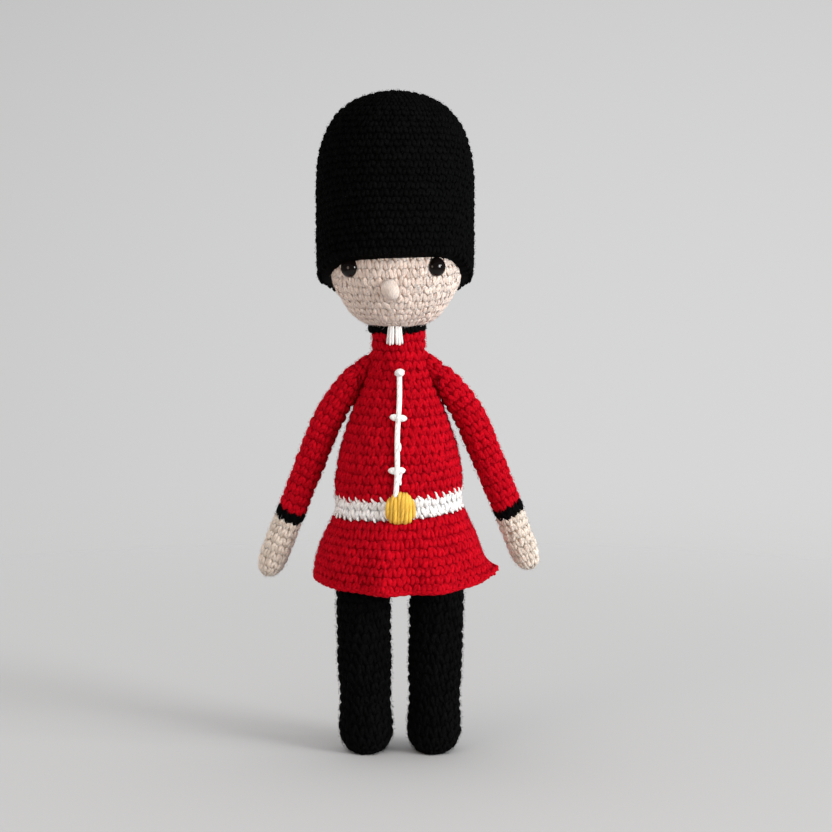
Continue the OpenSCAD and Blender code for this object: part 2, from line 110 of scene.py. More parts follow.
class YarnColours(bpy.types.PropertyGroup):
    """Colours of the yarns, the eyes and the ground."""

    red: bpy.props.FloatVectorProperty(
        name="Red yarn", description="Coat, skirt and sleeves", subtype="COLOR",
        min=0, max=1, default=(0.40, 0.0022, 0.0085))
    black: bpy.props.FloatVectorProperty(
        name="Black yarn", description="Hat, legs, seat, collar and cuffs", subtype="COLOR",
        min=0, max=1, default=(0.0012, 0.0012, 0.0013))
    skin: bpy.props.FloatVectorProperty(
        name="Skin yarn", description="Head and nose", subtype="COLOR",
        min=0, max=1, default=from_screen(211, 193, 182))
    cream: bpy.props.FloatVectorProperty(
        name="Cream yarn", description="Hands", subtype="COLOR",
        min=0, max=1, default=from_screen(203, 190, 178))
    white: bpy.props.FloatVectorProperty(
        name="White yarn", description="Belt, button cord and tassels", subtype="COLOR",
        min=0, max=1, default=from_screen(228, 226, 224))
    gold: bpy.props.FloatVectorProperty(
        name="Gold yarn", description="Buckle", subtype="COLOR",
        min=0, max=1, default=from_screen(210, 168, 66))
    eye: bpy.props.FloatVectorProperty(
        name="Eyes", description="Glossy plastic of the eyes", subtype="COLOR",
        min=0, max=1, default=from_screen(13, 9, 8))
    ground: bpy.props.FloatVectorProperty(
        name="Ground", description="Studio floor", subtype="COLOR",
        min=0, max=1, default=from_screen(174, 174, 174))
    backdrop: bpy.props.FloatVectorProperty(
        name="Backdrop", description="Studio background", subtype="COLOR",
        min=0, max=1, default=from_screen(209, 209, 209))


class StitchSizes(bpy.types.PropertyGroup):
    """Sizes of the crochet stitches and of the yarn."""

    width: bpy.props.FloatProperty(
        name="Stitch width", description="Width of one stitch along its round", unit="LENGTH",
        min=0.003, max=0.006, default=0.0043)
    height: bpy.props.FloatProperty(
        name="Row height", description="Height of one round of stitches", unit="LENGTH",
        min=0.003, max=0.006, default=0.00425)
    backing: bpy.props.FloatProperty(
        name="Backing depth", description="How deep the fabric's backing lies under the stitches",
        unit="LENGTH", min=0.0006, max=0.0024, default=0.001)
    relief: bpy.props.FloatProperty(
        name="Relief", description="Thickness of the stitches as a share of their width", subtype="FACTOR",
        min=0.4, max=1.2, default=0.62)
    uneven: bpy.props.FloatProperty(
        name="Unevenness", description="How much the stitches differ in size", subtype="FACTOR",
        min=0, max=0.3, default=0.13)
    tilt: bpy.props.FloatProperty(
        name="Stray tilt", description="How far a stitch may turn out of line", subtype="ANGLE",
        min=0, max=0.4, default=math.radians(9))
    lean: bpy.props.FloatProperty(
        name="Lean", description="How far all the stitches lean over", subtype="ANGLE",
        min=-0.4, max=0.4, default=math.radians(7))
    slant: bpy.props.FloatProperty(
        name="Column shift", description="Shift of each round against the one before, in stitches",
        min=0, max=0.5, default=0.22)
    seed: bpy.props.IntProperty(
        name="Seed", description="Seed of the unevenness", min=0, max=999, default=11)


class FigureSizes(bpy.types.PropertyGroup):
    """Sizes of the stuffed forms. Their defaults are those of the CAD frame."""

    leg_r: bpy.props.FloatProperty(
        name="Leg radius", description="Radius of a leg", unit="LENGTH", default=0.0119)
    leg_x: bpy.props.FloatProperty(
        name="Leg offset", description="Distance of a leg from the middle", unit="LENGTH", default=0.0164)
    hip_z: bpy.props.FloatProperty(
        name="Hip height", description="Height of the hips", unit="LENGTH", default=0.092)
    belt_low: bpy.props.FloatProperty(
        name="Belt foot", description="Height of the belt's lower edge", unit="LENGTH", default=BELT_LOW.z)
    belt_high: bpy.props.FloatProperty(
        name="Belt top", description="Height of the belt's upper edge", unit="LENGTH", default=BELT_HIGH.z)
    waist_r: bpy.props.FloatProperty(
        name="Waist radius", description="Radius at the belt", unit="LENGTH", default=BELT_HIGH.x)
    hem_r: bpy.props.FloatProperty(
        name="Hem radius", description="Radius of the skirt at its hem", unit="LENGTH", default=0.039)
    skirt_l: bpy.props.FloatProperty(
        name="Skirt length", description="Length of the skirt at the sides", unit="LENGTH", default=0.0285)
    head_r: bpy.props.FloatProperty(
        name="Head radius", description="Radius of the head", unit="LENGTH", default=0.0295)
    head_z: bpy.props.FloatProperty(
        name="Head height", description="Height of the middle of the head", unit="LENGTH",
        default=HEAD_HIGH.z - 0.0295)
    hat_r: bpy.props.FloatProperty(
        name="Hat radius", description="Radius of the hat", unit="LENGTH", default=HAT_HIGH.x)
    crown_z: bpy.props.FloatProperty(
        name="Hat top", description="Height of the top of the hat", unit="LENGTH", default=HAT_HIGH.z)
    rim_tilt: bpy.props.FloatProperty(
        name="Rim slope", description="Slope of the hat's rim down to the back", subtype="ANGLE",
        default=math.radians(21))
    sleeve_r: bpy.props.FloatProperty(
        name="Sleeve radius", description="Radius of a sleeve", unit="LENGTH", default=0.007)
    hand_r: bpy.props.FloatProperty(
        name="Hand radius", description="Radius of a hand", unit="LENGTH", default=0.0067)
    arm_hang: bpy.props.FloatProperty(
        name="Arm slant", description="Slant of the lower arm from straight down", subtype="ANGLE",
        default=math.radians(21.4))


def sizes():
    """Sizes of the stuffed forms in this scene."""
    return bpy.context.scene.guard_sizes


def stitching():
    """Sizes of the stitches in this scene."""
    return bpy.context.scene.guard_stitches


def colours():
    """Colours in this scene."""
    return bpy.context.scene.guard_colours


# Materials

def feed(tree, node, inputs):
    """Links the inputs for which a socket is given, and sets the others."""
    for key, value in inputs.items():
        if isinstance(value, bpy.types.NodeSocket):
            tree.links.new(value, node.inputs[key])
        else:
            node.inputs[key].default_value = value


def node_of(tree, kind, inputs=None, **settings):
    """A new node with its settings and inputs."""
    node = tree.nodes.new(kind)
    for key, value in settings.items():
        setattr(node, key, value)
    feed(tree, node, inputs or {})
    return node


def calc(tree, kind, *values, clamp=False):
    """Result of a Math node in a shader tree."""
    inputs = dict(enumerate(values))
    return node_of(tree, "ShaderNodeMath", inputs, operation=kind, use_clamp=clamp).outputs[0]


def plain_material(name):
    """A new material with its node tree and its one shader."""
    made = bpy.data.materials.new(name)
    made.use_nodes = True
    return made, made.node_tree, made.node_tree.nodes["Principled BSDF"]


def strand_group():
    """Shader group of a plied strand: its twist, fibres and tone from the yarn map and the tile number, and
    painted shade between the plies and on the backing.
    """
    if "Yarn strand" in bpy.data.node_groups:
        return bpy.data.node_groups["Yarn strand"]
    tree = bpy.data.node_groups.new("Yarn strand", "ShaderNodeTree")
    face = tree.interface
    for name, kind, value in (
            ("Colour", "NodeSocketColor", (0.8, 0.8, 0.8, 1)), ("Plies", "NodeSocketFloat", 3.0),
            ("Twist", "NodeSocketFloat", 2.0), ("Groove", "NodeSocketFloat", 0.3),
            ("Tone spread", "NodeSocketFloat", 0.1), ("Backing", "NodeSocketFloat", 0.5)):
        face.new_socket(name, in_out="INPUT", socket_type=kind).default_value = value
    for name, kind in (("Colour", "NodeSocketColor"), ("Height", "NodeSocketFloat"),
                       ("Roughness", "NodeSocketFloat")):
        face.new_socket(name, in_out="OUTPUT", socket_type=kind)
    into = node_of(tree, "NodeGroupInput").outputs

    def plus(a, b):
        return calc(tree, "ADD", a, b)

    def minus(a, b):
        return calc(tree, "SUBTRACT", a, b)

    def times(a, b):
        return calc(tree, "MULTIPLY", a, b)

    uv = node_of(tree, "ShaderNodeUVMap", uv_map="yarn")
    u, v, _ = node_of(tree, "ShaderNodeSeparateXYZ", {0: uv.outputs[0]}).outputs
    number = node_of(tree, "ShaderNodeAttribute", attribute_name="tile").outputs["Fac"]
    phase = plus(times(v, into["Plies"]), times(u, into["Twist"]))
    wave = calc(tree, "ABSOLUTE", calc(tree, "COSINE", times(phase, math.pi)))
    ply = calc(tree, "POWER", wave, 0.55)

    # The noise is read on a ring in four dimensions, so that it closes round the strand and along it
    round_u, round_v = times(u, TAU), times(plus(v, times(u, 0.7)), TAU)
    wide, long = 3.2, 0.8
    place = node_of(tree, "ShaderNodeCombineXYZ", {
        0: times(calc(tree, "COSINE", round_v), wide), 1: times(calc(tree, "SINE", round_v), wide),
        2: times(calc(tree, "COSINE", round_u), long)}).outputs[0]
    fourth = times(calc(tree, "SINE", round_u), long)
    fibres, lumps = (
        node_of(tree, "ShaderNodeTexNoise", {
            "Vector": place, "W": plus(fourth, times(number, apart)), "Scale": scale, "Detail": detail,
            "Roughness": rough}, noise_dimensions="4D").outputs["Fac"]
        for scale, detail, rough, apart in ((2.2, 3.0, 0.6, 3.7), (0.75, 1.0, 0.5, 5.3)))
    height = plus(plus(times(ply, 0.6), times(fibres, 0.7)), times(lumps, 1.2))

    chance = node_of(tree, "ShaderNodeTexWhiteNoise", {"W": number}, noise_dimensions="1D").outputs["Value"]
    tone = plus(times(minus(chance, 0.5), times(into["Tone spread"], 2.0)), 1.0)
    # Painted shade in the grooves between the plies: the colour is darker there, standing in for the shade
    # that falls into them
    groove_shade = minus(1.0, times(into["Groove"], minus(1.0, ply)))
    fleck = plus(plus(times(fibres, 0.7), times(lumps, 0.7)), 0.3)
    # Painted shade on the backing between the stitches: its tile is darkened by the backing strength and
    # made deeper in colour, standing in for the shade in the pits
    under = calc(tree, "GREATER_THAN", number, BACKING_TILE - 0.5)
    deep = minus(1.0, times(into["Backing"], under))
    shade = node_of(tree, "ShaderNodeHueSaturation", {
        "Color": into["Colour"], "Value": times(times(tone, groove_shade), times(fleck, deep)),
        "Saturation": plus(times(under, 0.7), 1.0)})
    node_of(tree, "NodeGroupOutput", {"Colour": shade.outputs[0], "Height": height,
                                      "Roughness": minus(0.95, times(ply, 0.15))})
    return tree


def yarn(name, colour, plies=3.0, twist=2.0, groove_shade=0.3, spread=0.1, backing=0.5, sheen=0.03, gloss=0.015,
         depth=0.45):
    """A yarn of that colour, made once."""
    # The groove and backing strengths set how dark the painted shade is between the plies and on the backing
    # between the stitches
    if name in bpy.data.materials:
        return bpy.data.materials[name]
    made, tree, shader = plain_material(name)
    strand = node_of(tree, "ShaderNodeGroup", {
        "Colour": (*colour, 1), "Plies": plies, "Twist": twist, "Groove": groove_shade, "Tone spread": spread,
        "Backing": backing}, node_tree=strand_group())
    bump = node_of(tree, "ShaderNodeBump", {"Height": strand.outputs["Height"], "Strength": 0.6,
                                            "Distance": 0.0005})
    feed(tree, shader, {"Base Color": strand.outputs["Colour"], "Roughness": strand.outputs["Roughness"],
                        "Normal": bump.outputs[0], "Sheen Weight": sheen, "Sheen Roughness": 0.5,
                        "Sheen Tint": (*[c ** 0.7 for c in colour], 1), "Specular IOR Level": gloss,
                        "Subsurface Weight": depth, "Subsurface Radius": (1.0, 0.8, 0.7),
                        "Subsurface Scale": 0.001})
    made.diffuse_color = (*colour, 1)
    return made


def red_yarn():
    """Yarn of the coat, the skirt and the sleeves."""
    return yarn("Red yarn", colours().red, backing=0.4)


def black_yarn():
    """Yarn of the hat, the legs, the seat, the collar and the cuffs."""
    return yarn("Black yarn", colours().black, groove_shade=0.35, spread=0.35, backing=0.6, sheen=0.0,
                gloss=0.05, depth=0.0)


def skin_yarn():
    """Yarn of the head."""
    return yarn("Skin yarn", colours().skin, groove_shade=0.14, backing=0.22, depth=0.6)


def skin_satin():
    """Loosely twisted yarn of the nose."""
    return yarn("Skin satin yarn", colours().skin, plies=2.0, twist=1.0, groove_shade=0.16, spread=0.05,
                gloss=0.1)


def cream_yarn():
    """Yarn of the hands."""
    return yarn("Cream yarn", colours().cream, groove_shade=0.22, backing=0.35, depth=0.55)


def white_yarn():
    """Yarn of the belt, the button cord and the tassels."""
    return yarn("White yarn", colours().white, groove_shade=0.22, spread=0.05, backing=0.35)


def gold_yarn():
    """Loosely twisted, shinier yarn of the buckle."""
    return yarn("Gold yarn", colours().gold, plies=2.0, twist=1.0, groove_shade=0.25, spread=0.12, sheen=0.1,
                gloss=0.2)


def plastic(name, colour, rough, vary, grain, gleam=0.5):
    """Moulded plastic with a faint unevenness in its colour and polish."""
    made, tree, shader = plain_material(name)
    where = node_of(tree, "ShaderNodeTexCoord").outputs["Object"]
    cloud = node_of(tree, "ShaderNodeTexNoise", {"Vector": where, "Scale": grain}).outputs["Fac"]
    polish = calc(tree, "ADD", calc(tree, "MULTIPLY", cloud, vary), rough)
    tone = calc(tree, "ADD", calc(tree, "MULTIPLY", cloud, 0.3), 0.85)
    tint = node_of(tree, "ShaderNodeHueSaturation", {"Color": (*colour, 1), "Value": tone})
    feed(tree, shader, {"Base Color": tint.outputs[0], "Roughness": polish, "Specular IOR Level": gleam})
    made.diffuse_color = (*colour, 1)
    return made


def dress(node, material):
    """Gives a CAD piece its one material."""
    node.data.materials.clear()
    node.data.materials.append(material)


# Meshes of yarn

def yarn_mesh(name, points, faces, maps, tiles):
    """A smooth mesh with its yarn map and the tile number of every point."""
    made = bpy.data.meshes.new(name)
    made.from_pydata(points, [], faces)
    made.uv_layers.new(name="yarn").data.foreach_set("uv", np.asarray(maps, np.float32).ravel())
    numbers = np.full(len(points), tiles, np.float32)
    made.attributes.new("tile", "FLOAT", "POINT").data.foreach_set("value", numbers)
    made.shade_smooth()
    return made


class Strands:
    """Collects yarn tubes, in millimetres or another unit, into one mesh with its yarn map and tiles."""

    def __init__(self, sides=8, unit=MM):
        self.sides, self.unit = sides, unit
        self.points, self.faces, self.maps, self.tiles = [], [], [], []

    def tube(self, line, radii, tile, steps=8, flat=1.0, up=FRONT):
        """A closed tube along the line. That many steps of it make one turn of the yarn map, and flat
        squeezes it along up."""
        line = np.asarray(line, float) * self.unit
        radii = np.broadcast_to(np.asarray(radii, float) * self.unit, (len(line),))
        along = np.gradient(line, axis=0)
        along /= np.maximum(np.linalg.norm(along, axis=1), 1e-9)[:, None]
        base, n = len(self.points), self.sides
        for i, p in enumerate(line):
            side = np.cross(along[i], np.array(up, float))
            side /= max(np.linalg.norm(side), 1e-9)
            top = np.cross(side, along[i])
            for k in range(n):
                a = TAU * k / n
                self.points.append(p + radii[i] * (math.cos(a) * side + math.sin(a) * flat * top))
                self.tiles.append(tile)
        for i in range(len(line) - 1):
            u0, u1 = (i % steps) / steps, (i % steps + 1) / steps
            for k in range(n):
                a, b = base + i * n + k, base + i * n + (k + 1) % n
                self.faces.append((a, b, b + n, a + n))
                self.maps += [(u0, k / n), (u0, (k + 1) / n), (u1, (k + 1) / n), (u1, k / n)]
        for first, turn in ((base, -1), (base + (len(line) - 1) * n, 1)):
            self.faces.append(tuple(range(first, first + n))[::turn])
            self.maps += [(0.02, 0.5)] * n

    def fibre(self, start, middle, end, radius, tile):
        """A fine closed hair with one bend."""
        base = len(self.points)
        along = (end - start) / max(np.linalg.norm(end - start), 1e-9)
        side = np.cross(along, (0.31, 0.52, 0.79))
        side /= max(np.linalg.norm(side), 1e-9)
        top = np.cross(along, side)
        bend = [middle + radius * (math.cos(q) * side + math.sin(q) * top)
                for q in (0, TAU / 3, 2 * TAU / 3)]
        self.points += [start, *bend, end]
        self.tiles += [tile] * 5
        for k in range(3):
            a, b = base + 1 + k, base + 1 + (k + 1) % 3
            self.faces += [(base, b, a), (base + 4, a, b)]
            self.maps += [(0.5, 0.5)] * 6

    def mesh(self, name):
        """All the tubes as one mesh."""
        return yarn_mesh(name, [tuple(p) for p in self.points], self.faces, self.maps, self.tiles)


def any_tile(chance):
    """The number of a yarn tile, drawn at random."""
    return int(chance.integers(0, STITCH_TILES))


def backing_of(place, inset, around=48, along=24, outward=1, arc=None, start=0.0, end=1.0, squeeze=None):
    """A grid of points, in rows, for a skin that lies by the inset under the stitches."""
    columns = around if arc is None else around + 1
    step = 1e-3
    grid = []
    for t in np.linspace(start, end, along + 1):
        low, high = arc(t) if arc else (-math.pi, math.pi)
        a = low + np.arange(columns) / around * (high - low)
        tt = np.full(columns, t)
        across = place(a + step, tt) - place(a - step, tt)
        above, below = np.minimum(tt + step, max(end, 1.0)), np.maximum(tt - step, min(start, 0.0))
        upward = place(a, above) - place(a, below)
        out = np.cross(across, upward) * outward
        out /= np.maximum(np.linalg.norm(out, axis=1), 1e-12)[:, None]
        p = place(a, tt) - out * inset
        grid.append(p if squeeze is None else squeeze(p))
    return np.array(grid)


def skin_mesh(name, grid, turn=1):
    """A closed mesh from the grid of a backing, with a cap at both ends."""
    rows, columns = grid.shape[:2]
    points = [tuple(p * MM) for row in grid for p in row]
    faces, maps = [], []
    for i in range(rows - 1):
        for k in range(columns):
            a, b = i * columns + k, i * columns + (k + 1) % columns
            faces.append((a, b, b + columns, a + columns)[::turn])
            u0, u1, v0, v1 = k / columns, (k + 1) / columns, i / (rows - 1), (i + 1) / (rows - 1)
            maps += [(u0, v0), (u1, v0), (u1, v1), (u0, v1)][::turn]
    for row, way in ((0, -turn), (rows - 1, turn)):
        middle = len(points)
        points.append(tuple(grid[row].mean(0) * MM))
        for k in range(columns):
            a, b = row * columns + k, row * columns + (k + 1) % columns
            faces.append((a, b, middle)[::way])
            maps += [(0.5, 0.5)] * 3
    return yarn_mesh(name, points, faces, maps, BACKING_TILE)


def sheet_mesh(name, outer, inner):
    """A closed sheet between an outer and an inner grid, for the skirt's backing."""
    rows, columns = outer.shape[:2]
    points = [tuple(p * MM) for grid in (outer, inner) for row in grid for p in row]
    k = rows * columns
    faces = []
    for i in range(rows - 1):
        for j in range(columns - 1):
            a = i * columns + j
            faces.append((a, a + columns, a + columns + 1, a + 1))
            faces.append((k + a, k + a + 1, k + a + columns + 1, k + a + columns))
    last = (rows - 1) * columns
    for j in range(columns - 1):
        faces.append((j, j + 1, k + j + 1, k + j))
        faces.append((last + j + 1, last + j, k + last + j, k + last + j + 1))
    for i in range(rows - 1):
        a, b = i * columns, i * columns + columns - 1
        faces.append((a, k + a, k + a + columns, a + columns))
        faces.append((b, b + columns, k + b + columns, k + b))
    return yarn_mesh(name, points, faces, [(0, 0), (1, 0), (1, 1), (0, 1)] * len(faces), BACKING_TILE)


def joined(meshes):
    """One mesh from several, with their yarn maps and tiles."""
    points, faces, maps, tiles = [], [], [], []
    for mesh in meshes:
        base = len(points)
        points += [tuple(v.co) for v in mesh.vertices]
        faces += [tuple(base + k for k in face.vertices) for face in mesh.polygons]
        maps += [tuple(item.uv) for item in mesh.uv_layers["yarn"].data]
        tiles += [item.value for item in mesh.attributes["tile"].data]
        bpy.data.meshes.remove(mesh)
    return yarn_mesh("skins", points, faces, maps, tiles)


def bake_map(mesh):
    """Adds the map that gives every yarn tile its own square, with a margin round it."""
    margin = 0.06
    count = len(mesh.loops)
    uv, corner = np.zeros(count * 2, np.float32), np.zeros(count, np.int32)
    mesh.uv_layers["yarn"].data.foreach_get("uv", uv)
    mesh.loops.foreach_get("vertex_index", corner)
    tile = np.zeros(len(mesh.vertices), np.float32)
    mesh.attributes["tile"].data.foreach_get("value", tile)
    uv = np.clip(uv.reshape(-1, 2), 0.0, 1.0)
    number = np.round(tile[corner]).astype(int)
    square = np.stack([number % TILES_ACROSS, number // TILES_ACROSS], 1)
    out = (square + margin + (1 - 2 * margin) * uv) / TILES_ACROSS
    mesh.uv_layers.new(name="OFBake").data.foreach_set("uv", out.astype(np.float32).ravel())


# Crochet stitches

def stitch_shapes(fuzz):
    """Slightly different stitches, each two bent legs with a few stray fibres, in units of a stitch."""
    chance = np.random.default_rng(stitching().seed)
    leg = np.array([(0.06, -0.57, -0.57), (0.135, -0.34, -0.40), (0.235, -0.03, -0.31),
                    (0.325, 0.23, -0.35), (0.37, 0.47, -0.55)])
    radius = np.array([0.18, 0.275, 0.32, 0.30, 0.20])
    group = bpy.data.collections.new("Stitches")
    bpy.context.scene.collection.children.link(group)
    for number in range(STITCH_KINDS):
        strands = Strands(sides=6, unit=1)
        for side in (-1, 1):
            line = leg + chance.normal(0, 0.02, leg.shape)
            line[:, 0] = side * line[:, 0]
            strands.tube(line, radius * (1 + chance.normal(0, 0.05)), 0, steps=4, up=UP)
        for _ in range(fuzz):
            start = np.array([chance.uniform(-0.4, 0.4), chance.uniform(-0.45, 0.45), -0.1])
            away = np.array([chance.uniform(-1, 1), chance.uniform(-1, 1), 0])
            away *= chance.uniform(0.15, 0.42) / max(np.linalg.norm(away), 0.1)
            lift = np.array([0, 0, chance.uniform(0.12, 0.42)])
            bend, end = start + 0.55 * away + 0.75 * lift, start + away + lift * chance.uniform(0.5, 1.1)
            strands.fibre(start, bend, end, chance.uniform(0.012, 0.022), 0)
        mesh = strands.mesh("stitch.%d" % number)
        mesh.attributes.remove(mesh.attributes["tile"])
        group.objects.link(bpy.data.objects.new("stitch.%d" % number, mesh))
    return group


def stitch_tree():
    """Geometry nodes that set a stitch on every point, by its out, up, size and tile, over a backing."""
    if "Crochet stitches" in bpy.data.node_groups:
        return bpy.data.node_groups["Crochet stitches"]
    tree = bpy.data.node_groups.new("Crochet stitches", "GeometryNodeTree")
    face = tree.interface
    face.new_socket("Geometry", in_out="INPUT", socket_type="NodeSocketGeometry")
    for name, kind in (("Stitches", "NodeSocketCollection"), ("Backing", "NodeSocketObject"),
                       ("Unevenness", "NodeSocketFloat"), ("Stray tilt", "NodeSocketFloat"),
                       ("Lean", "NodeSocketFloat"), ("Seed", "NodeSocketInt"),
                       ("Yarn", "NodeSocketMaterial")):
        face.new_socket(name, in_out="INPUT", socket_type=kind)
    face.new_socket("Geometry", in_out="OUTPUT", socket_type="NodeSocketGeometry")
    into = node_of(tree, "NodeGroupInput").outputs

    def attribute(name):
        node = node_of(tree, "GeometryNodeInputNamedAttribute", {"Name": name}, data_type="FLOAT_VECTOR")
        return node.outputs["Attribute"]

    def chance(kind, low, high, offset):
        node = node_of(tree, "FunctionNodeRandomValue", data_type=kind)
        for name, value in (("Min", low), ("Max", high)):
            socket = [s for s in node.inputs if s.name == name and s.enabled][0]
            socket.default_value = value
        seed = node_of(tree, "FunctionNodeIntegerMath", {0: into["Seed"], 1: offset}, operation="ADD")
        feed(tree, node, {"Seed": seed.outputs[0]})
        return [s for s in node.outputs if s.enabled][0]

    def vector(kind, inputs):
        return node_of(tree, "ShaderNodeVectorMath", inputs, operation=kind).outputs[0]

    # Each stitch is turned by its own directions, leans over with the others and strays a little
    least, most = (-1, -1, -1), (1, 1, 1)
    axes = node_of(tree, "FunctionNodeAxesToRotation", {0: attribute("out"), 1: attribute("up")},
                   primary_axis="Z", secondary_axis="Y")
    lean = node_of(tree, "ShaderNodeCombineXYZ", {2: into["Lean"]})
    stray = vector("SCALE", {0: chance("FLOAT_VECTOR", least, most, 1), "Scale": into["Stray tilt"]})
    turn = node_of(tree, "FunctionNodeEulerToRotation", {0: vector("ADD", {0: stray, 1: lean.outputs[0]})})
    spin = node_of(tree, "FunctionNodeRotateRotation", {0: axes.outputs[0], 1: turn.outputs[0]},
                   rotation_space="LOCAL")
    uneven = vector("SCALE", {0: chance("FLOAT_VECTOR", least, most, 2), "Scale": into["Unevenness"]})
    swell = vector("ADD", {0: uneven, 1: (1, 1, 1)})
    shapes = node_of(tree, "GeometryNodeCollectionInfo", {
        "Collection": into["Stitches"], "Separate Children": True, "Reset Children": True})
    put = node_of(tree, "GeometryNodeInstanceOnPoints", {
        "Points": into["Geometry"], "Instance": shapes.outputs[0], "Pick Instance": True,
        "Instance Index": chance("INT", 0, STITCH_KINDS - 1, 3), "Rotation": spin.outputs[0],
        "Scale": vector("MULTIPLY", {0: attribute("size"), 1: swell})})

    # The backing and the stitches become one plain mesh of the yarn
    solid = node_of(tree, "GeometryNodeRealizeInstances", {0: put.outputs[0]})
    shell = node_of(tree, "GeometryNodeObjectInfo", {"Object": into["Backing"]})
    both = node_of(tree, "GeometryNodeJoinGeometry", {0: shell.outputs["Geometry"]})
    feed(tree, both, {0: solid.outputs[0]})
    real = node_of(tree, "GeometryNodeRealizeInstances", {0: both.outputs[0]})
    paint = node_of(tree, "GeometryNodeSetMaterial", {"Geometry": real.outputs[0], "Material": into["Yarn"]})
    node_of(tree, "NodeGroupOutput", {0: paint.outputs[0]})
    return tree


def lay_rounds(place, rows, rise=0.0, outward=1, keep=None, arc=None, width=None, phase=0.0, depth=1.0,
               first=0, reach=1.0, full=1.0):
    """Points of crocheted rounds on a surface. place(a, t) gives points in millimetres for the angle a from
    the front to the figure's left and t from the first round to the last. rise is the climb of a round as
    a share of a row, and arc(t) the ends of rows that don't close. full, reach and depth stretch the
    stitches along the row, across it and outwards."""
    sew = stitching()
    width = (width or sew.width) / MM
    chance = np.random.default_rng(sew.seed + 5)
    found = {"at": [], "out": [], "up": [], "size": []}
    for row in range(first, rows):
        t = (row + 0.5) / rows
        low, high = arc(t) if arc else (-math.pi, math.pi)
        loop = place(np.linspace(low, high, 49), np.full(49, t))
        count = max(5, round(length_of(loop) / width))
        j = np.arange(count)
        if arc:
            a = low + (j + 0.5) / count * (high - low)
        else:
            a = (j + phase + sew.slant * row) % count / count * TAU - math.pi
        step_a, step_t = (high - low) / count / 2, 0.5 / rows
        tt = t + rise * min(1, (rows - 1 - row) / 2) * a / TAU / rows
        middle = place(a, tt)
        across = place(a + step_a, tt) - place(a - step_a, tt)
        upward = place(a, tt + step_t) - place(a, tt - step_t)
        out = np.cross(across, upward) * outward
        out /= np.maximum(np.linalg.norm(out, axis=1), 1e-9)[:, None]
        wide, tall = np.linalg.norm(across, axis=1), np.linalg.norm(upward, axis=1)
        upward /= np.maximum(tall, 1e-9)[:, None]
        thick = np.full(count, width * depth * sew.relief)
        size = np.stack([wide * full, tall * reach, thick], 1)
        stay = np.ones(count, bool) if keep is None else keep(a, tt, middle)
        for key, value in (("at", middle), ("out", out), ("up", upward), ("size", size)):
            found[key].append(value[stay])
    found = {key: np.concatenate(value) for key, value in found.items()}
    found["tile"] = chance.integers(0, STITCH_TILES, len(found["at"])).astype(float)
    return found


def merged(*parts):
    """Several lots of rounds as one."""
    return {key: np.concatenate([part[key] for part in parts]) for key in parts[0]}


def crochet(name, rounds, skin, material, squeeze=None, fuzz=12):
    """Sets stitches on the rounds and a skin under them, as one plain mesh object. squeeze moves its points
    out of the way of other pieces."""
    sew = stitching()
    points = bpy.data.meshes.new(name + ".points")
    points.from_pydata([tuple(p * MM) for p in rounds["at"]], [], [])
    for key, factor in (("out", 1.0), ("up", 1.0), ("size", MM)):
        points.attributes.new(key, "FLOAT_VECTOR", "POINT").data.foreach_set(
            "vector", (rounds[key] * factor).astype(np.float32).ravel())
    tiles = rounds["tile"].astype(np.float32)
    points.attributes.new("tile", "FLOAT", "POINT").data.foreach_set("value", tiles)
    scaffold = bpy.data.objects.new(name + ".scaffold", points)
    under = bpy.data.objects.new(name + ".skin", skin or bpy.data.meshes.new(name + ".skin"))
    for made in (scaffold, under):
        bpy.context.scene.collection.objects.link(made)
    shapes = stitch_shapes(fuzz)
    tree = stitch_tree()
    names = {item.name: item.identifier for item in tree.interface.items_tree if item.in_out == "INPUT"}
    work = scaffold.modifiers.new("Stitches", "NODES")
    work.node_group = tree
    for key, value in (("Stitches", shapes), ("Backing", under), ("Unevenness", sew.uneven),
                       ("Stray tilt", sew.tilt), ("Lean", sew.lean), ("Seed", sew.seed), ("Yarn", material)):
        work[names[key]] = value
    depsgraph = bpy.context.evaluated_depsgraph_get()
    mesh = bpy.data.meshes.new_from_object(scaffold.evaluated_get(depsgraph), depsgraph=depsgraph)
    for made in (scaffold, under, *shapes.objects):
        data = made.data
        bpy.data.objects.remove(made)
        bpy.data.meshes.remove(data)
    bpy.data.collections.remove(shapes)
    if squeeze is not None:
        where = np.zeros(len(mesh.vertices) * 3, np.float32)
        mesh.vertices.foreach_get("co", where)
        where = squeeze(where.reshape(-1, 3) / MM) * MM
        mesh.vertices.foreach_set("co", where.astype(np.float32).ravel())
        mesh.update()
    return finished(name, mesh, material)


def finished(name, mesh, material):
    """An object from a finished mesh, at the origin, with its one material and its bake map."""
    mesh.name = name
    mesh.materials.clear()
    mesh.materials.append(material)
    bake_map(mesh)
    piece = bpy.data.objects.new(name, mesh)
    bpy.context.scene.collection.objects.link(piece)
    return piece


def settle(piece, body, slot, nodes):
    """Puts a piece on its body in place of its CAD nodes."""
    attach(piece, body)
    if nodes:
        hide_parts(*nodes)
    return piece


def strung(name, strands, material, slot, nodes=()):
    """A piece of the torso made of yarn strands, in place of its CAD nodes."""
    return settle(finished(name, strands.mesh(name), material), "torso", slot, nodes)


# Forms of the figure, in millimetres

def bent(ends, t):
    """A curve with two ends and two points that steer it."""
    p, q, r, s = ends
    return (1 - t) ** 3 * p + 3 * (1 - t) ** 2 * t * q + 3 * (1 - t) * t * t * r + t ** 3 * s


def bell(value, middle, spread):
    """A soft swelling that is 1 at the middle and fades out on both sides."""
    return np.exp(-((value - middle) / spread) ** 2)


def ring(a, r, z):
    """Points at a radius and a height, by their angle from the front to the figure's left."""
    return np.stack([r * np.sin(a), -r * np.cos(a), z + 0 * a], -1)


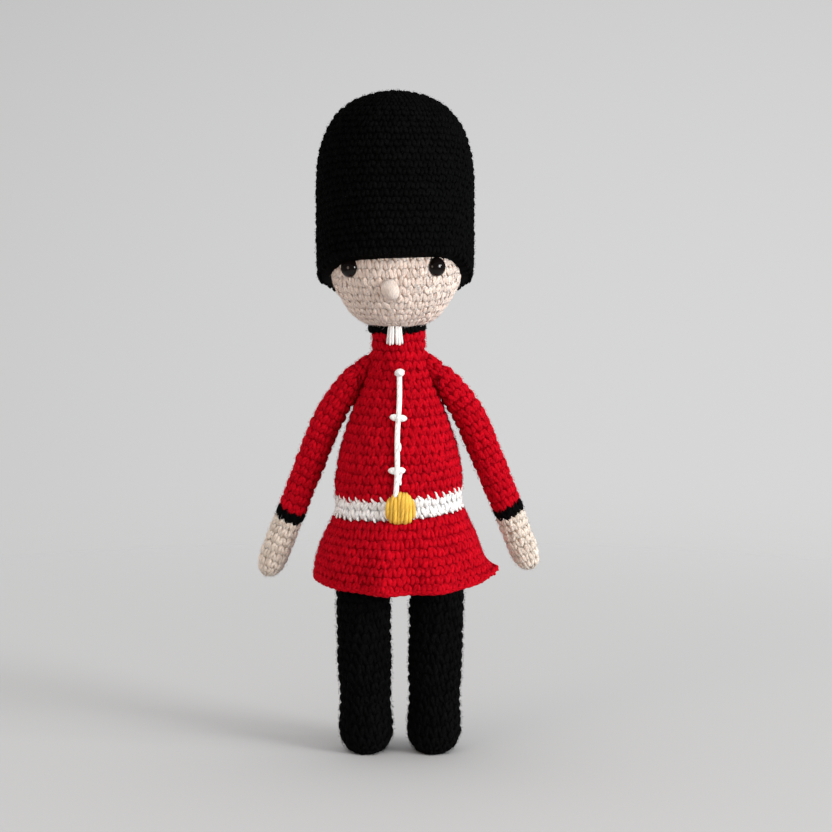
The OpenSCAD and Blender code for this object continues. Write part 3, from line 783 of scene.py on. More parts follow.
def run_of(line):
    """Length of an outline up to each of its points."""
    steps = np.linalg.norm(np.diff(np.asarray(line, float), axis=0), axis=1)
    return np.concatenate([[0], np.cumsum(steps)])


def along_line(line):
    """A function that gives the points of an outline by its share of the whole length."""
    line, run = np.asarray(line, float), run_of(line)
    run /= run[-1]
    return lambda t: (np.interp(t, run, line[:, 0]), np.interp(t, run, line[:, 1]))


def length_of(line):
    """Length of an outline."""
    return np.linalg.norm(np.diff(np.asarray(line, float), axis=0), axis=1).sum()


def coat_line():
    """Outline of the coat from the belt to the collar, as radius and height."""
    s = sizes()
    low, waist = s.belt_high / MM, s.waist_r / MM
    neck_r, neck_low = 12.2, COLLAR_LOW.z / MM - 7.5
    neck_top = COLLAR_LOW.z / MM + NECK_LIFT + 1.7
    belly, chest = waist + 2.1, 17.0
    line = [(bent((waist, belly, chest, neck_r), t), bent((low, low + 21.5, neck_low - 18, neck_low), t))
            for t in np.linspace(0, 1, 41)]
    return line + [(neck_r, z) for z in np.linspace(neck_low + 1, neck_top, 6)]


def coat_radius(z):
    """Radius of the coat at a height."""
    line = np.array(coat_line())
    return np.interp(z, line[:, 1], line[:, 0])


def coat_place():
    """The coat from the belt to the collar, carried on straight past both ends."""
    line = coat_line()
    at, whole = along_line(line), length_of(line)

    def place(a, t):
        r, z = at(t)
        past = np.minimum(t, 0) + np.maximum(t - 1, 0)
        return ring(a, r, z + past * whole + belt_tilt(a) * np.clip(1 - 2.2 * t, 0, 1))
    return place


def belt_tilt(a):
    """How much higher the belt lies at each angle, because it was worked a little askew."""
    return 1.9 * np.sin(a)


def tube_place(r, low, high, tilt=None, shift=0.0):
    """An upright tube, raised by tilt(a) and moved sideways by shift."""
    def place(a, t):
        p = ring(a, r + 0 * t, low + (high - low) * t)
        p[..., 0] += shift
        p[..., 2] += tilt(a) if tilt else 0
        return p
    return place


def seat_place():
    """The seat from the middle of its underside up to the belt, with a hollow over each leg."""
    s = sizes()
    low, hip, leg_x, reach = s.hip_z / MM + 6.5, s.hip_z / MM, s.leg_x / MM, s.leg_r / MM + 0.4
    line = along_line([(0.5, low), (10, low), (18, low), (21.5, low + 0.4), (24.5, low + 1.6),
                       (26.3, low + 3.6), (27.0, low + 5.6), (27.0, s.belt_low / MM)])

    def place(a, t):
        r, z = line(t)
        p = ring(a, r, z)
        for x in (-leg_x, leg_x):
            flat = np.hypot(p[..., 0] - x, p[..., 1])
            roof = hip + np.sqrt(np.maximum(0, reach ** 2 - flat ** 2))
            p[..., 2] = np.where(flat < reach, np.maximum(p[..., 2], roof), p[..., 2])
        return p
    return place


def skirt_place(inset=0.0):
    """The skirt from the belt to the hem, with the loose curled corner at its open edge."""
    s = sizes()
    top_r, top_z, hem_r = s.waist_r / MM + 0.9, s.belt_low / MM + 1.0, s.hem_r / MM
    corner_out, corner_up = 5, 4.4
    flare, fold = 2.0, 2.7
    side_drop, front_drop = s.skirt_l / MM + 1.7, 1.7

    def place(a, t):
        degrees = np.degrees(a) % 360
        turn = np.radians((degrees + 180) % 360 - 180)
        down = np.clip(t, 0, 1)
        curl = bell(degrees, 86, 16) * np.maximum(0, (t - 0.6) / 0.4) ** 2 * (degrees < SKIRT_OPENING)
        r = top_r + (hem_r - top_r) * np.sin(np.clip(t, -0.2, 1.1) * math.pi / 2) + corner_out * curl - inset
        r = r + flare * down ** 1.5 * np.maximum(0, np.sin(a)) ** 2
        r = r - fold * down ** 1.2 * np.sin(9 * turn) * bell(turn, 0.1, 0.65)
        z = top_z - t * (side_drop + front_drop * np.cos(a) ** 2) + corner_up * curl
        return ring(a, r, z + belt_tilt(a) * np.clip(1 - t * 1.4, 0, 1))
    return place


def skirt_arc(t):
    """The angles of the skirt's two open edges."""
    half = math.radians(0.3 + 2.5 * t)
    return math.radians(SKIRT_OPENING) + half, math.radians(SKIRT_OPENING + 360) - half


def leg_place(side):
    """A leg from the middle of its oval sole to its round top."""
    s = sizes()
    r, hip = s.leg_r / MM, s.hip_z / MM
    x = side * s.leg_x / MM + (0.4 if side > 0 else 0.65)
    sole_t, edge_t, top_t = 0.055, 0.16, 0.86
    sole_wide, sole_long = 4.6, 10.4
    side_edge, toe_edge = 10.5, 4.5
    ankle, ankle_z, ankle_spread = 0.7, 26, 9
    fuller, splay = 0.6, 1.9

    def place(a, t):
        t = np.asarray(t, float) + 0 * a
        share = np.clip(t / sole_t, 0, 1)
        angle = np.clip((t - sole_t) / (edge_t - sole_t), 0, 1) * math.pi / 2
        wide = share * sole_wide + (r - sole_wide) * np.sin(angle)
        long = share * sole_long + (r - sole_long) * np.sin(angle)
        edge = 1 - np.cos(angle)
        z = side_edge * edge * np.sin(a) ** 2 + toe_edge * edge * np.cos(a) ** 2
        climb = np.clip((t - edge_t) / (top_t - edge_t), 0, 1)
        z = z + (hip - z) * climb
        pinch = ankle * bell(z, ankle_z, ankle_spread) * np.clip(climb * 12, 0, 1)
        dome = np.clip((t - top_t) / (1 - top_t), 0, 1) * math.pi / 2
        wide, long = (wide - pinch + fuller) * np.cos(dome), (long - pinch) * np.cos(dome)
        middle = x + side * splay * (np.minimum(z, hip) / hip - 0.5)
        return np.stack([middle + wide * np.sin(a), -long * np.cos(a), z + r * np.sin(dome)], -1)
    return place


def on_floor(p):
    """Presses points that would sink into the floor flat on it."""
    return np.stack([p[..., 0], p[..., 1], np.maximum(p[..., 2], 0.02 * (1 + np.tanh(p[..., 2])))], -1)


def hat_place():
    """The hat from the middle of its crown down to its slanting rim."""
    s = sizes()
    r, crown, middle = s.hat_r / MM, s.crown_z / MM, s.head_z / MM
    slope = math.tan(s.rim_tilt)
    rim_z = middle - 3.4
    lowest = rim_z - (r + 6) * slope
    dome_h, dome_power = 46, 2 / 2.6
    peak, peak_r = 0.9, 9
    tuck, tuck_z = 5.4, middle + 6
    line = []
    for corner in np.radians(np.linspace(90, 0, 61)):
        flat = r * math.cos(corner) ** dome_power
        tip = peak * math.exp(-(flat / peak_r) ** 2)
        line.append((flat, crown - dome_h + dome_h * math.sin(corner) ** dome_power + tip))
    line += [(r - tuck * max(0, (tuck_z - z) / (tuck_z - lowest)) ** 2, z)
             for z in np.linspace(crown - dome_h - 1, lowest - 8, 30)]
    line, run = np.array(line), run_of(line)

    def place(a, t):
        t = np.asarray(t, float) + 0 * a
        brow = np.sin(2 * a) ** 2 * (np.cos(a) > 0)
        turn = np.degrees(np.arctan2(np.sin(a), np.cos(a)))
        rim = rim_z + np.cos(a) * (r - 1.5) * slope + brow * np.where(turn > 0, 1.3, -0.4)
        rim = rim + 1.2 * np.maximum(np.cos(a), 0)
        for lift, where, spread in ((2.2, 55, 19), (1.3, -52, 18), (-0.8, 0, 22)):
            rim = rim + lift * bell(turn, where, spread)
        here = t * np.interp(-rim, -line[:, 1], run)
        return ring(a, np.interp(here, run, line[:, 0]), np.interp(here, run, line[:, 1])) + HAT_SHIFT
    return place


def head_place():
    """The head from the collar up to where the hat covers it, a little narrower at the jaw."""
    s = sizes()
    r, middle = s.head_r / MM, s.head_z / MM
    low, high = math.asin((COLLAR_HIGH.x / MM - 0.6) / r), math.radians(112)
    jaw_drop, jaw_spread, neck_drop = 15, 8, 26.4

    def place(a, t):
        angle = low + (high - low) * np.asarray(t, float)
        drop = r * np.cos(angle)
        jaw = 1 - 0.058 * bell(drop, jaw_drop, jaw_spread) * np.sin(a) ** 2
        z = middle - drop + NECK_LIFT * (np.maximum(drop, 0) / neck_drop) ** 2
        return ring(a, r * np.sin(angle) * jaw, z) + HEAD_SHIFT
    return place


def arm_centre():
    """Middle of the arc that the upper arm follows, in the plane of the arms."""
    hang = sizes().arm_hang
    return np.array(ELBOW) - ARM_BEND_R * np.array([math.cos(hang), math.sin(hang)])


def arm_path():
    """The arm's middle line from the finger tips to the shoulder, with radius and direction at each point,
    and the length up to each point."""
    s = sizes()
    hang = s.arm_hang
    down = np.array([math.sin(hang), -math.cos(hang)])
    elbow, centre = np.array(ELBOW), arm_centre()
    sleeve_r, wrist_r, hand_r = s.sleeve_r / MM, 6.5, s.hand_r / MM
    cuff_top, cuff_foot = 37.4, 40.5
    hand_top, hand_l, blunt = 41.4, 29, 2.4
    rows = []
    for u in np.linspace(1, 0, HAND_STEPS):
        if u < 0.5:
            r = wrist_r + (hand_r - wrist_r) * math.sin(math.pi * u)
        else:
            r = hand_r * max(0, 1 - ((u - 0.5) / 0.5) ** blunt) ** (1 / blunt)
        rows.append((*(elbow + down * (hand_top + hand_l * u)), r, hang))
    rows += [(*(elbow + down * u), wrist_r, hang) for u in np.linspace(cuff_foot, cuff_top, CUFF_STEPS)]
    for u in np.linspace(36, 0, 19):
        rows.append((*(elbow + down * u), sleeve_r + (wrist_r - sleeve_r) * u / cuff_top, hang))
    for share in np.linspace(0, 1, 13)[1:]:
        angle = hang + (SHOULDER_TILT - hang) * share
        rows.append((*(centre + ARM_BEND_R * np.array([math.cos(angle), math.sin(angle)])),
                     sleeve_r + (SHOULDER_R - sleeve_r) * share ** 2, angle))
    up = np.array([-math.sin(SHOULDER_TILT), math.cos(SHOULDER_TILT)])
    for angle in np.linspace(0, math.pi / 2, 10)[1:]:
        rows.append((*(np.array(PIVOT) + up * SHOULDER_R * math.sin(angle)), SHOULDER_R * math.cos(angle),
                     SHOULDER_TILT))
    rows = np.array(rows)
    step = np.hypot(np.linalg.norm(np.diff(rows[:, :2], axis=0), axis=1), np.diff(rows[:, 2]))
    return rows, np.concatenate([[0], np.cumsum(step)])


def arm_place(side, low, high):
    """A stretch of the arm's surface between two lengths from the finger tips. The left arm is a little
    fuller and shorter."""
    rows, run = arm_path()
    shoulder_z = PIVOT[1]
    wider, fuller, shorter = 0.6, 0.07, 0.965

    def place(a, t):
        here = low + (high - low) * np.asarray(t, float) + 0 * a
        x, z, r, angle = (np.interp(here, run, rows[:, k]) for k in range(4))
        if side > 0:
            below = np.clip((shoulder_z - z) / 15, 0, 1) * np.clip((z - 100) / 10, 0, 1)
            x, r = x + wider * below, r * (1 + fuller * below)
        out = r * np.sin(a)
        p = np.stack([x + out * np.cos(angle), -r * np.cos(a), z + out * np.sin(angle)], -1)
        p[..., 0] *= side
        if side > 0:
            p[..., 2] = shoulder_z + (p[..., 2] - shoulder_z) * shorter
        return p
    return place


def shoulder_place(side):
    """The sewn top of a sleeve on the coat's shoulder, from the arm up towards the neck."""
    centre = arm_centre()

    def place(a, t):
        t = np.asarray(t, float) + 0 * a
        angle, r = np.radians(39.5 + 12 * t), SHOULDER_R * (1.04 - 0.5 * t)
        reach = ARM_BEND_R + r * np.sin(a)
        return np.stack([side * (centre[0] + reach * np.cos(angle)), -r * np.cos(a),
                         centre[1] + reach * np.sin(angle)], -1)
    return place


def clear_of_arm(p):
    """Moves points of the coat's shoulders out of the room that a swinging arm needs: a ball at the
    shoulder, and the cone that the sleeve sweeps beyond it."""
    pivot_x, pivot_z = PIVOT
    gap, slope = 0.1, 0.82
    slack, slack_z, shoulder_low = 1.6, 175.5, pivot_z - 9
    reach = np.hypot(p[..., 1], p[..., 2] - pivot_z)
    r = SHOULDER_R + 0.15
    cone_reach, cone_depth = r * 0.656, r * 0.755
    ball = pivot_x - np.sqrt(np.maximum(r * r - reach ** 2, 0))
    cone = pivot_x - cone_depth + slope * (reach - cone_reach)
    limit = np.where(reach < cone_reach, ball, cone)
    limit = np.maximum(limit - gap, coat_radius(pivot_z - reach) - gap)
    limit = limit + slack * np.clip((p[..., 2] - slack_z) / 2, 0, 1)
    over = np.maximum(np.abs(p[..., 0]) - limit, 0) * (p[..., 2] > shoulder_low)
    q = p.copy()
    q[..., 0] -= np.sign(p[..., 0]) * over
    return q


def coat_room(p):
    """How far a point of an arm lies outside the room that the coat needs as the arm swings."""
    reach = np.hypot(p[..., 1], p[..., 2] - PIVOT[1])
    return np.abs(p[..., 0]) - coat_radius(PIVOT[1] - reach) + 0.6


def clear_of_coat(p):
    """Moves points of an arm out of the room that the coat needs."""
    short = np.minimum(coat_room(p), 0)
    q = p.copy()
    q[..., 0] -= np.where(p[..., 0] >= 0, short, -short)
    return q


def cord_line(z):
    """Middle of the button cord at a height. It runs a little to the figure's right on its way down."""
    top_x, aside, foot_z, proud = 0.6, 1.6, 122.7, 1.05
    x = top_x - aside * (KNOB_Z - z) / (KNOB_Z - foot_z)
    r = coat_radius(z) + proud
    return np.array([x, -math.sqrt(r * r - x * x), z])


# Stage

def ground_paper():
    """Pale paper of the floor, which fades into the backdrop away from the figure."""
    paper, tree, shader = plain_material("Ground paper")
    where = node_of(tree, "ShaderNodeTexCoord").outputs["Object"]
    far = node_of(tree, "ShaderNodeVectorMath", {0: where}, operation="LENGTH").outputs["Value"]
    fade = node_of(tree, "ShaderNodeMapRange", {
        "Value": far, "From Min": 0.15, "From Max": 0.9, "To Min": 1.0, "To Max": 0.0},
        interpolation_type="SMOOTHERSTEP")
    grain = node_of(tree, "ShaderNodeTexNoise", {"Vector": where, "Scale": 700.0})
    bump = node_of(tree, "ShaderNodeBump", {"Height": grain.outputs["Fac"], "Strength": 0.04,
                                            "Distance": 0.0003})
    feed(tree, shader, {"Base Color": (*colours().ground, 1), "Roughness": 0.75, "Specular IOR Level": 0.1,
                        "Alpha": fade.outputs[0], "Normal": bump.outputs[0]})
    return paper


def studio_world():
    """Soft light from all round, more of it from above, and a backdrop for the camera and reflections."""
    world = bpy.data.worlds.new("Studio")
    world.use_nodes = True
    tree = world.node_tree
    where = node_of(tree, "ShaderNodeTexCoord").outputs["Generated"]
    sideways, _, height = node_of(tree, "ShaderNodeSeparateXYZ", {0: where}).outputs
    level, from_above = 0.66, 0.74
    above = calc(tree, "MULTIPLY", calc(tree, "MAXIMUM", height, 0.0), from_above)
    light = tree.nodes["Background"]
    feed(tree, light, {"Color": (1, 1, 1, 1), "Strength": calc(tree, "ADD", above, level)})

    # The backdrop is a little lighter on one side and darker towards the top, within the camera's view
    even = 1.0
    for value, low, high, slope, bend in (
            (sideways, -0.16, 0.16, 0.43, -1.3),
            (calc(tree, "ADD", height, 0.05), -0.08, 0.15, -0.68, -4.25)):
        value = calc(tree, "MINIMUM", calc(tree, "MAXIMUM", value, low), high)
        curve = calc(tree, "ADD", calc(tree, "MULTIPLY", value, bend), slope)
        even = calc(tree, "ADD", even, calc(tree, "MULTIPLY", value, curve))
    rays = node_of(tree, "ShaderNodeLightPath").outputs
    dim = calc(tree, "SUBTRACT", 1.0, calc(tree, "MULTIPLY", rays["Is Glossy Ray"], 0.75))
    paint = node_of(tree, "ShaderNodeBackground", {
        "Color": (*colours().backdrop, 1), "Strength": calc(tree, "MULTIPLY", even, dim)})
    seen = calc(tree, "ADD", calc(tree, "ADD", rays["Is Camera Ray"], rays["Is Glossy Ray"]),
                rays["Is Transmission Ray"], clamp=True)
    mix = node_of(tree, "ShaderNodeMixShader", {0: seen, 1: light.outputs[0], 2: paint.outputs[0]})
    feed(tree, tree.nodes["World Output"], {0: mix.outputs[0]})
    return world


class GUARD_OT_stage(bpy.types.Operator):
    """Pale floor, soft studio light and the camera"""
    bl_idname = "guard.stage"
    bl_label = "Stage"

    def execute(self, context):
        scene = context.scene
        floor_r, n = 2.6, 96
        points = [(floor_r * math.cos(TAU * k / n), floor_r * math.sin(TAU * k / n), 0.0) for k in range(n)]
        mesh = bpy.data.meshes.new("floor")
        mesh.from_pydata([(0.0, 0.0, 0.0)] + points, [], [(0, 1 + k, 1 + (k + 1) % n) for k in range(n)])
        mesh.materials.append(ground_paper())
        floor = bpy.data.objects.new("floor", mesh)
        scene.collection.objects.link(floor)
        scene.world = studio_world()

        for name, place, aim, power, wide, tint in (
                ("Key", (3.2, -2.1, 0.95), (0, 0, 0.15), 172.0, 1.5, (1, 1, 1)),
                ("Lamp", (3.3, -0.9, 1.2), (0, 0, 0.2), 22.0, 0.45, (1, 1, 1)),
                ("Fill", (-2.2, -2.6, 0.6), (0, 0, 0.15), 32.0, 1.6, (1, 0.76, 0.62))):
            lamp = bpy.data.lights.new(name, "AREA")
            lamp.shape, lamp.size, lamp.energy, lamp.color = "DISK", wide, power, tint
            stand = bpy.data.objects.new(name, lamp)
            stand.location = place
            stand.rotation_euler = (Vector(aim) - Vector(place)).to_track_quat("-Z", "Y").to_euler()
            scene.collection.objects.link(stand)

        distance, look_down, half_width = 1.35, math.radians(7.5), 0.1888
        middle_x, middle_z = 0.0079, 0.155
        view = bpy.data.cameras.new("Camera")
        view.sensor_width = 36.0
        view.lens = view.sensor_width / 2 / (half_width / distance)
        eye = bpy.data.objects.new("Camera", view)
        eye.location = (middle_x, -distance * math.cos(look_down), middle_z + distance * math.sin(look_down))
        eye.rotation_euler = (math.pi / 2 - look_down, 0, 0)
        scene.collection.objects.link(eye)
        scene.camera = eye
        scene.view_settings.view_transform = "Standard"
        return {"FINISHED"}


# Pieces of the figure

class GUARD_OT_legs(bpy.types.Operator):
    """Black crocheted legs with their oval soles, worked upwards from the soles"""
    bl_idname = "guard.legs"
    bl_label = "Legs"

    def execute(self, context):
        inset = stitching().backing / MM
        for name, side in SIDES:
            place = leg_place(side)
            rounds = lay_rounds(place, rows=26, rise=1.0, phase=0.3 * side, depth=1.3)
            grid = backing_of(place, inset, around=36, along=48, start=0.004, end=0.995)
            piece = crochet(name + "_leg_stitches", rounds, skin_mesh(name + "_leg", grid), black_yarn(),
                            squeeze=on_floor)
            nodes = (name + "_leg_cover", name + "_leg_filling")
            settle(piece, name + "_leg", "black_yarn", nodes)
        return {"FINISHED"}


class GUARD_OT_seat(bpy.types.Operator):
    """Black seat between the legs and the belt"""
    bl_idname = "guard.seat"
    bl_label = "Seat"

    def execute(self, context):
        s = sizes()
        leg_x, hollow_r = s.leg_x / MM, s.leg_r / MM + 1.5
        place = seat_place()
        rounds = lay_rounds(place, rows=8, rise=1.0)
        x, y, _ = rounds["at"].T
        near = np.min([np.hypot(x - leg, y) for leg in (-leg_x, leg_x)], 0)
        rounds = {key: value[near > hollow_r] for key, value in rounds.items()}
        grid = backing_of(place, inset=0.9, around=72, along=36, start=0.01)
        piece = crochet("seat_stitches", rounds, skin_mesh("seat", grid), black_yarn())
        settle(piece, "torso", "black_yarn", ("seat_cover",))
        return {"FINISHED"}


class GUARD_OT_skirt(bpy.types.Operator):
    """Red flared skirt worked down from the belt, open at the figure's left, with a curled corner"""
    bl_idname = "guard.skirt"
    bl_label = "Coat skirt"

    def execute(self, context):
        thick, edge_thick, rows = 2.7, 2.4, 8
        cloth_end, hem_t = 0.965, 0.985
        place, lining, edge_lining = skirt_place(), skirt_place(thick), skirt_place(edge_thick)
        rounds = merged(lay_rounds(place, rows, outward=-1, arc=skirt_arc),
                        lay_rounds(lining, rows, outward=1, arc=skirt_arc, depth=0.55))
        outer, inner = (
            backing_of(surface, inset, around=90, along=20, outward=way, arc=skirt_arc, end=cloth_end)
            for surface, inset, way in ((place, 0.9, -1), (lining, 0.3, 1)))
        cloth = finished("skirt_cloth", sheet_mesh("skirt", outer, inner), red_yarn())
        settle(cloth, "torso", "red_yarn", ("coat_skirt",))
        piece = crochet("skirt_stitches", rounds, None, red_yarn())
        settle(piece, "torso", "red_yarn", ())

        # Two strands twisted together along the hem, and one along each open edge
        hem = Strands(sides=8)
        n, twists, apart, wave = 420, 28, 0.42, 0.35
        a = np.linspace(*skirt_arc(1.0), n)
        outer, inner = place(a, np.full(n, hem_t)), edge_lining(a, np.full(n, hem_t))
        for start, tile in ((0.0, 20), (math.pi, 27)):
            turn = np.linspace(0, TAU * twists, n) + start
            line = (outer + inner) / 2 + (outer - inner) / 2 * apart * np.cos(turn)[:, None]
            line[:, 2] += wave * np.sin(turn)
            hem.tube(line, 0.95, tile, up=UP)
        t = np.linspace(0.05, hem_t, 60)
        for number, tile in ((0, 31), (1, 38)):
            a = np.array([skirt_arc(value)[number] for value in t])
            hem.tube((place(a, t) + edge_lining(a, t)) / 2, 1.05, tile)
        edge = strung("skirt_hem", hem, red_yarn(), "red_yarn")

        return {"FINISHED"}


class GUARD_OT_belt(bpy.types.Operator):
    """White belt of two rounds, climbing a little to the figure's left"""
    bl_idname = "guard.belt"
    bl_label = "Belt"

    def execute(self, context):
        s, sew = sizes(), stitching()
        waist, low, high = s.waist_r / MM, s.belt_low / MM, s.belt_high / MM
        place = tube_place(waist, low + 2.0, high + 1.4, belt_tilt)
        rounds = lay_rounds(place, rows=2, depth=0.7)
        grid = backing_of(place, sew.backing / MM, around=64, along=6, start=-0.2, end=1.2)
        piece = crochet("belt_stitches", rounds, skin_mesh("belt", grid), white_yarn())
        settle(piece, "torso", "white_yarn", ("belt",))

        # Loose ends of stitches that stand out from both edges of the belt
        teeth = Strands(sides=6)
        radii = np.array([.75, .72, .62, .5, .25])
        top_edge, low_edge, outward = high + 0.6, low + 2.6, 1.1
        chance = np.random.default_rng(sew.seed + 4)
        count = round(TAU * s.waist_r / sew.width)
        for k in range(count):
            a = (k + 0.5) / count * TAU - math.pi
            for edge, way, tall in ((top_edge, 1, chance.uniform(1.6, 2.7)),
                                    (low_edge, -1, chance.uniform(1.1, 2.1))):
                line = []
                for q in np.linspace(0, 1, len(radii)):
                    z = edge + way * tall * q + belt_tilt(a)
                    r = coat_radius(z) if way > 0 else waist + outward * q
                    r = r - 0.25 - 0.35 * (2 * q - 1) ** 2
                    turn = a - (0.3 + 0.55 * q * way) * TAU / count / 2 + chance.normal(0, 0.002)
                    line.append(ring(turn, r, z))
                teeth.tube(line, radii, any_tile(chance), steps=4, up=(math.sin(a), -math.cos(a), 0))
        strung("belt_teeth", teeth, white_yarn(), "white_yarn")
        return {"FINISHED"}


class GUARD_OT_buckle(bpy.types.Operator):
    """Gold buckle of satin stitches laid side by side over a rounded lump"""
    bl_idname = "guard.buckle"
    bl_label = "Buckle"

    def execute(self, context):
        low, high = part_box("buckle")
        middle = (low + high) / 2 / MM
        middle.z += 1.0
        thick, wider, deep = 1.0, 1.2, 5.4
        wide, tall = (high.x - low.x) / MM / 2 + wider, (high.z - low.z) / MM / 2
        back = -sizes().waist_r / MM + 0.8
        strands = Strands(sides=8)
        chance = np.random.default_rng(stitching().seed + 1)
        count, slant, ragged = 8, 0.3, 0.3
        # A smaller layer underneath and the full one over it. Only the upper one is uneven.
        for layer, (shrink, lift) in enumerate(((0.88, -0.8), (1.0, 0.0))):
            for k in range(count):
                x = (k - (count - 1) / 2) / (count / 2)
                half = tall * shrink * max(0.25, 1 - abs(x) ** 2.6) ** 0.42
                half += ragged * math.sin(2.6 * k) * layer
                stray = chance.normal(0, 0.2, 3) * layer
                swell = (deep + lift - thick + stray[0]) * (1 - 0.42 * abs(x) ** 2.4)
                line = []
                for q in np.linspace(-1, 1, 17):
                    angle = q * math.pi / 2
                    bulge = swell * max(0.0, math.cos(angle)) ** 0.62
                    fan = x * (wide - 0.9) * shrink * (1 - 0.13 * q * q - 0.04 * q)
                    line.append((middle.x + (fan + stray[1] * q + slant * q), back - bulge,
                                 middle.z + half * math.sin(angle) + stray[2]))
                strands.tube(line, thick + chance.normal(0, 0.1), any_tile(chance))
        strung("buckle_strands", strands, gold_yarn(), "gold_yarn", ("buckle",))
        return {"FINISHED"}


class GUARD_OT_coat(bpy.types.Operator):
    """Red crocheted coat from the belt to the collar, over its filling"""
    bl_idname = "guard.coat"
    bl_label = "Coat"

    def execute(self, context):
        sew = stitching()
        place = coat_place()
        rows = round(length_of(coat_line()) / (sew.height / MM))
        parts = [lay_rounds(place, rows)]
        skins = [skin_mesh("coat", backing_of(place, sew.backing / MM, around=64, along=36))]

        def outside(a, t, p):
            return np.hypot(p[:, 0], p[:, 1]) > coat_radius(p[:, 2]) - 1.0

        for side in (-1, 1):
            place = shoulder_place(side)
            parts.append(lay_rounds(place, rows=4, outward=side, width=SLEEVE_STITCH, keep=outside))
            grid = backing_of(place, inset=1.0, around=24, along=8, outward=side)
            skins.append(skin_mesh("shoulder", grid, turn=side))
        piece = crochet("coat_stitches", merged(*parts), joined(skins), red_yarn(), squeeze=clear_of_arm)
        settle(piece, "torso", "red_yarn", ("coat_cover", "body_filling"))
        return {"FINISHED"}


class GUARD_OT_button_cord(bpy.types.Operator):
    """White cord sewn down the coat's front, with a knob at its top and two winged knots"""
    bl_idname = "guard.button_cord"
    bl_label = "Button cord"

    def execute(self, context):
        chance = np.random.default_rng(stitching().seed + 2)
        cord = Strands(sides=10)
        top, foot = 176.5, 121.6
        tail_top, tail_foot = 133.6, 127.8
        lump_top, lump_foot = 146.6, 142.4
        line = [cord_line(z) + (0.22 * math.sin(z / 5.0), 0, 0) for z in np.linspace(top, foot, 65)]
        cord.tube(line, 1.15, tile=3)
        tail = [cord_line(z) + (1.5 + 0.25 * math.sin(z), 0.25, 0)
                for z in np.linspace(tail_top, tail_foot, 9)]
        cord.tube(tail, np.array([1, 1, 1, 1, 1, 1, .95, .85, .5]) * 0.85, tile=7)
        lump = [cord_line(z) + (0.75, -0.35, 0) for z in np.linspace(lump_top, lump_foot, 9)]
        cord.tube(lump, np.array([.3, .7, .9, 1, 1, 1, .9, .7, .3]) * 0.95, tile=9)
        strung("button_cord_strand", cord, white_yarn(), "white_yarn", ("button_cord",))

        # The knob is two loops over a short core, and each knot two wings with a wrap between them
        knots = Strands(sides=10)
        top = cord_line(KNOB_Z) + (0, -0.9, 0.5)
        for turn, tile in ((0.2, 4), (1.5, 6)):
            loop = [top + (1.25 * math.cos(q), -0.5 + 0.35 * math.sin(q + turn), 0.8 * math.sin(q + turn))
                    for q in np.linspace(0, TAU, 17)]
            knots.tube(loop, 1.05, tile, up=(0.1, -1, 0.1))
        core = [top + (q, -0.95 + 0.12 * q * q, 0) for q in np.linspace(-1.7, 1.7, 9)]
        knots.tube(core, np.array([.55, .9, 1.1, 1.2, 1.25, 1.2, 1.1, .9, .55]) * 1.15, tile=5)
        wing_thick = np.array([.9, 1.15, 1.3, 1.38, 1.4, 1.35, 1.2, .95, .45]) * 1.12
        wrap_thick = np.array([.7, .95, 1, 1, 1, 1, 1, .95, .7]) * 1.1
        for height, lean in ((157.2, -0.35), (134.4, 0.1)):
            middle = cord_line(height) + (0, -1.2, 0)
            for side in (-1, 1):
                wing = [middle + (side * q, 0.3 * q * q * 0.28, side * lean * q * 0.3)
                        for q in np.linspace(-0.4, 3.7, 9)]
                knots.tube(wing, wing_thick, any_tile(chance), flat=0.9)
            wrap = [middle + (0.35 * math.sin(q), -0.3 - 0.55 * math.cos(q), 1.75 * math.sin(q))
                    for q in np.linspace(-1.5, 1.5, 9)]
            knots.tube(wrap, wrap_thick, any_tile(chance))
        strung("button_knot_strands", knots, white_yarn(), "white_yarn", ("button_knots",))
        return {"FINISHED"}


class GUARD_OT_collar(bpy.types.Operator):
    """Black collar of one round, and two short white tassels under the chin"""
    bl_idname = "guard.collar"
    bl_label = "Collar and tassels"

    def execute(self, context):
        low, high = COLLAR_LOW.z / MM + NECK_LIFT + 1.6, COLLAR_HIGH.z / MM + NECK_LIFT
        place = tube_place(COLLAR_HIGH.x / MM, low, high, shift=-0.6)
        rounds = lay_rounds(place, rows=1, rise=0.5, reach=1.35)
        grid = backing_of(place, inset=1.2, around=48, along=4, start=-0.1, end=1.1)
        piece = crochet("collar_stitches", rounds, skin_mesh("collar", grid), black_yarn())
        settle(piece, "torso", "black_yarn", ("collar",))

        thick = np.array([.6, .9, 1, 1, 1, 1, 1, 1, 1, 1, 1, .9, .5])
        for name, side in SIDES:
            low, high = (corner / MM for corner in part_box(name + "_tassel"))
            strands = Strands(sides=8)
            for k in range(3):
                drop = high.z - low.z + 1.9 - 0.5 * abs(k - 0.8)
                line = []
                for q in np.linspace(0, 1, len(thick)):
                    reach = 0.4 + (0.55 + 1.15 * k) * (0.75 + 0.3 * q ** 1.6)
                    bulge = 0.8 * math.sin(q * math.pi) * (1 - 0.25 * k)
                    back = low.y + 0.9 - bulge + 0.35 * k - (0.4 if k == 1 else 0)
                    line.append((-1.6 + side * reach, back, high.z + NECK_LIFT + 0.6 - q * drop))
                strands.tube(line, thick * (0.67 - 0.03 * k), 8 + k * 5, steps=6)
            strung(name + "_tassel_strands", strands, white_yarn(), "white_yarn", (name + "_tassel",))
        return {"FINISHED"}


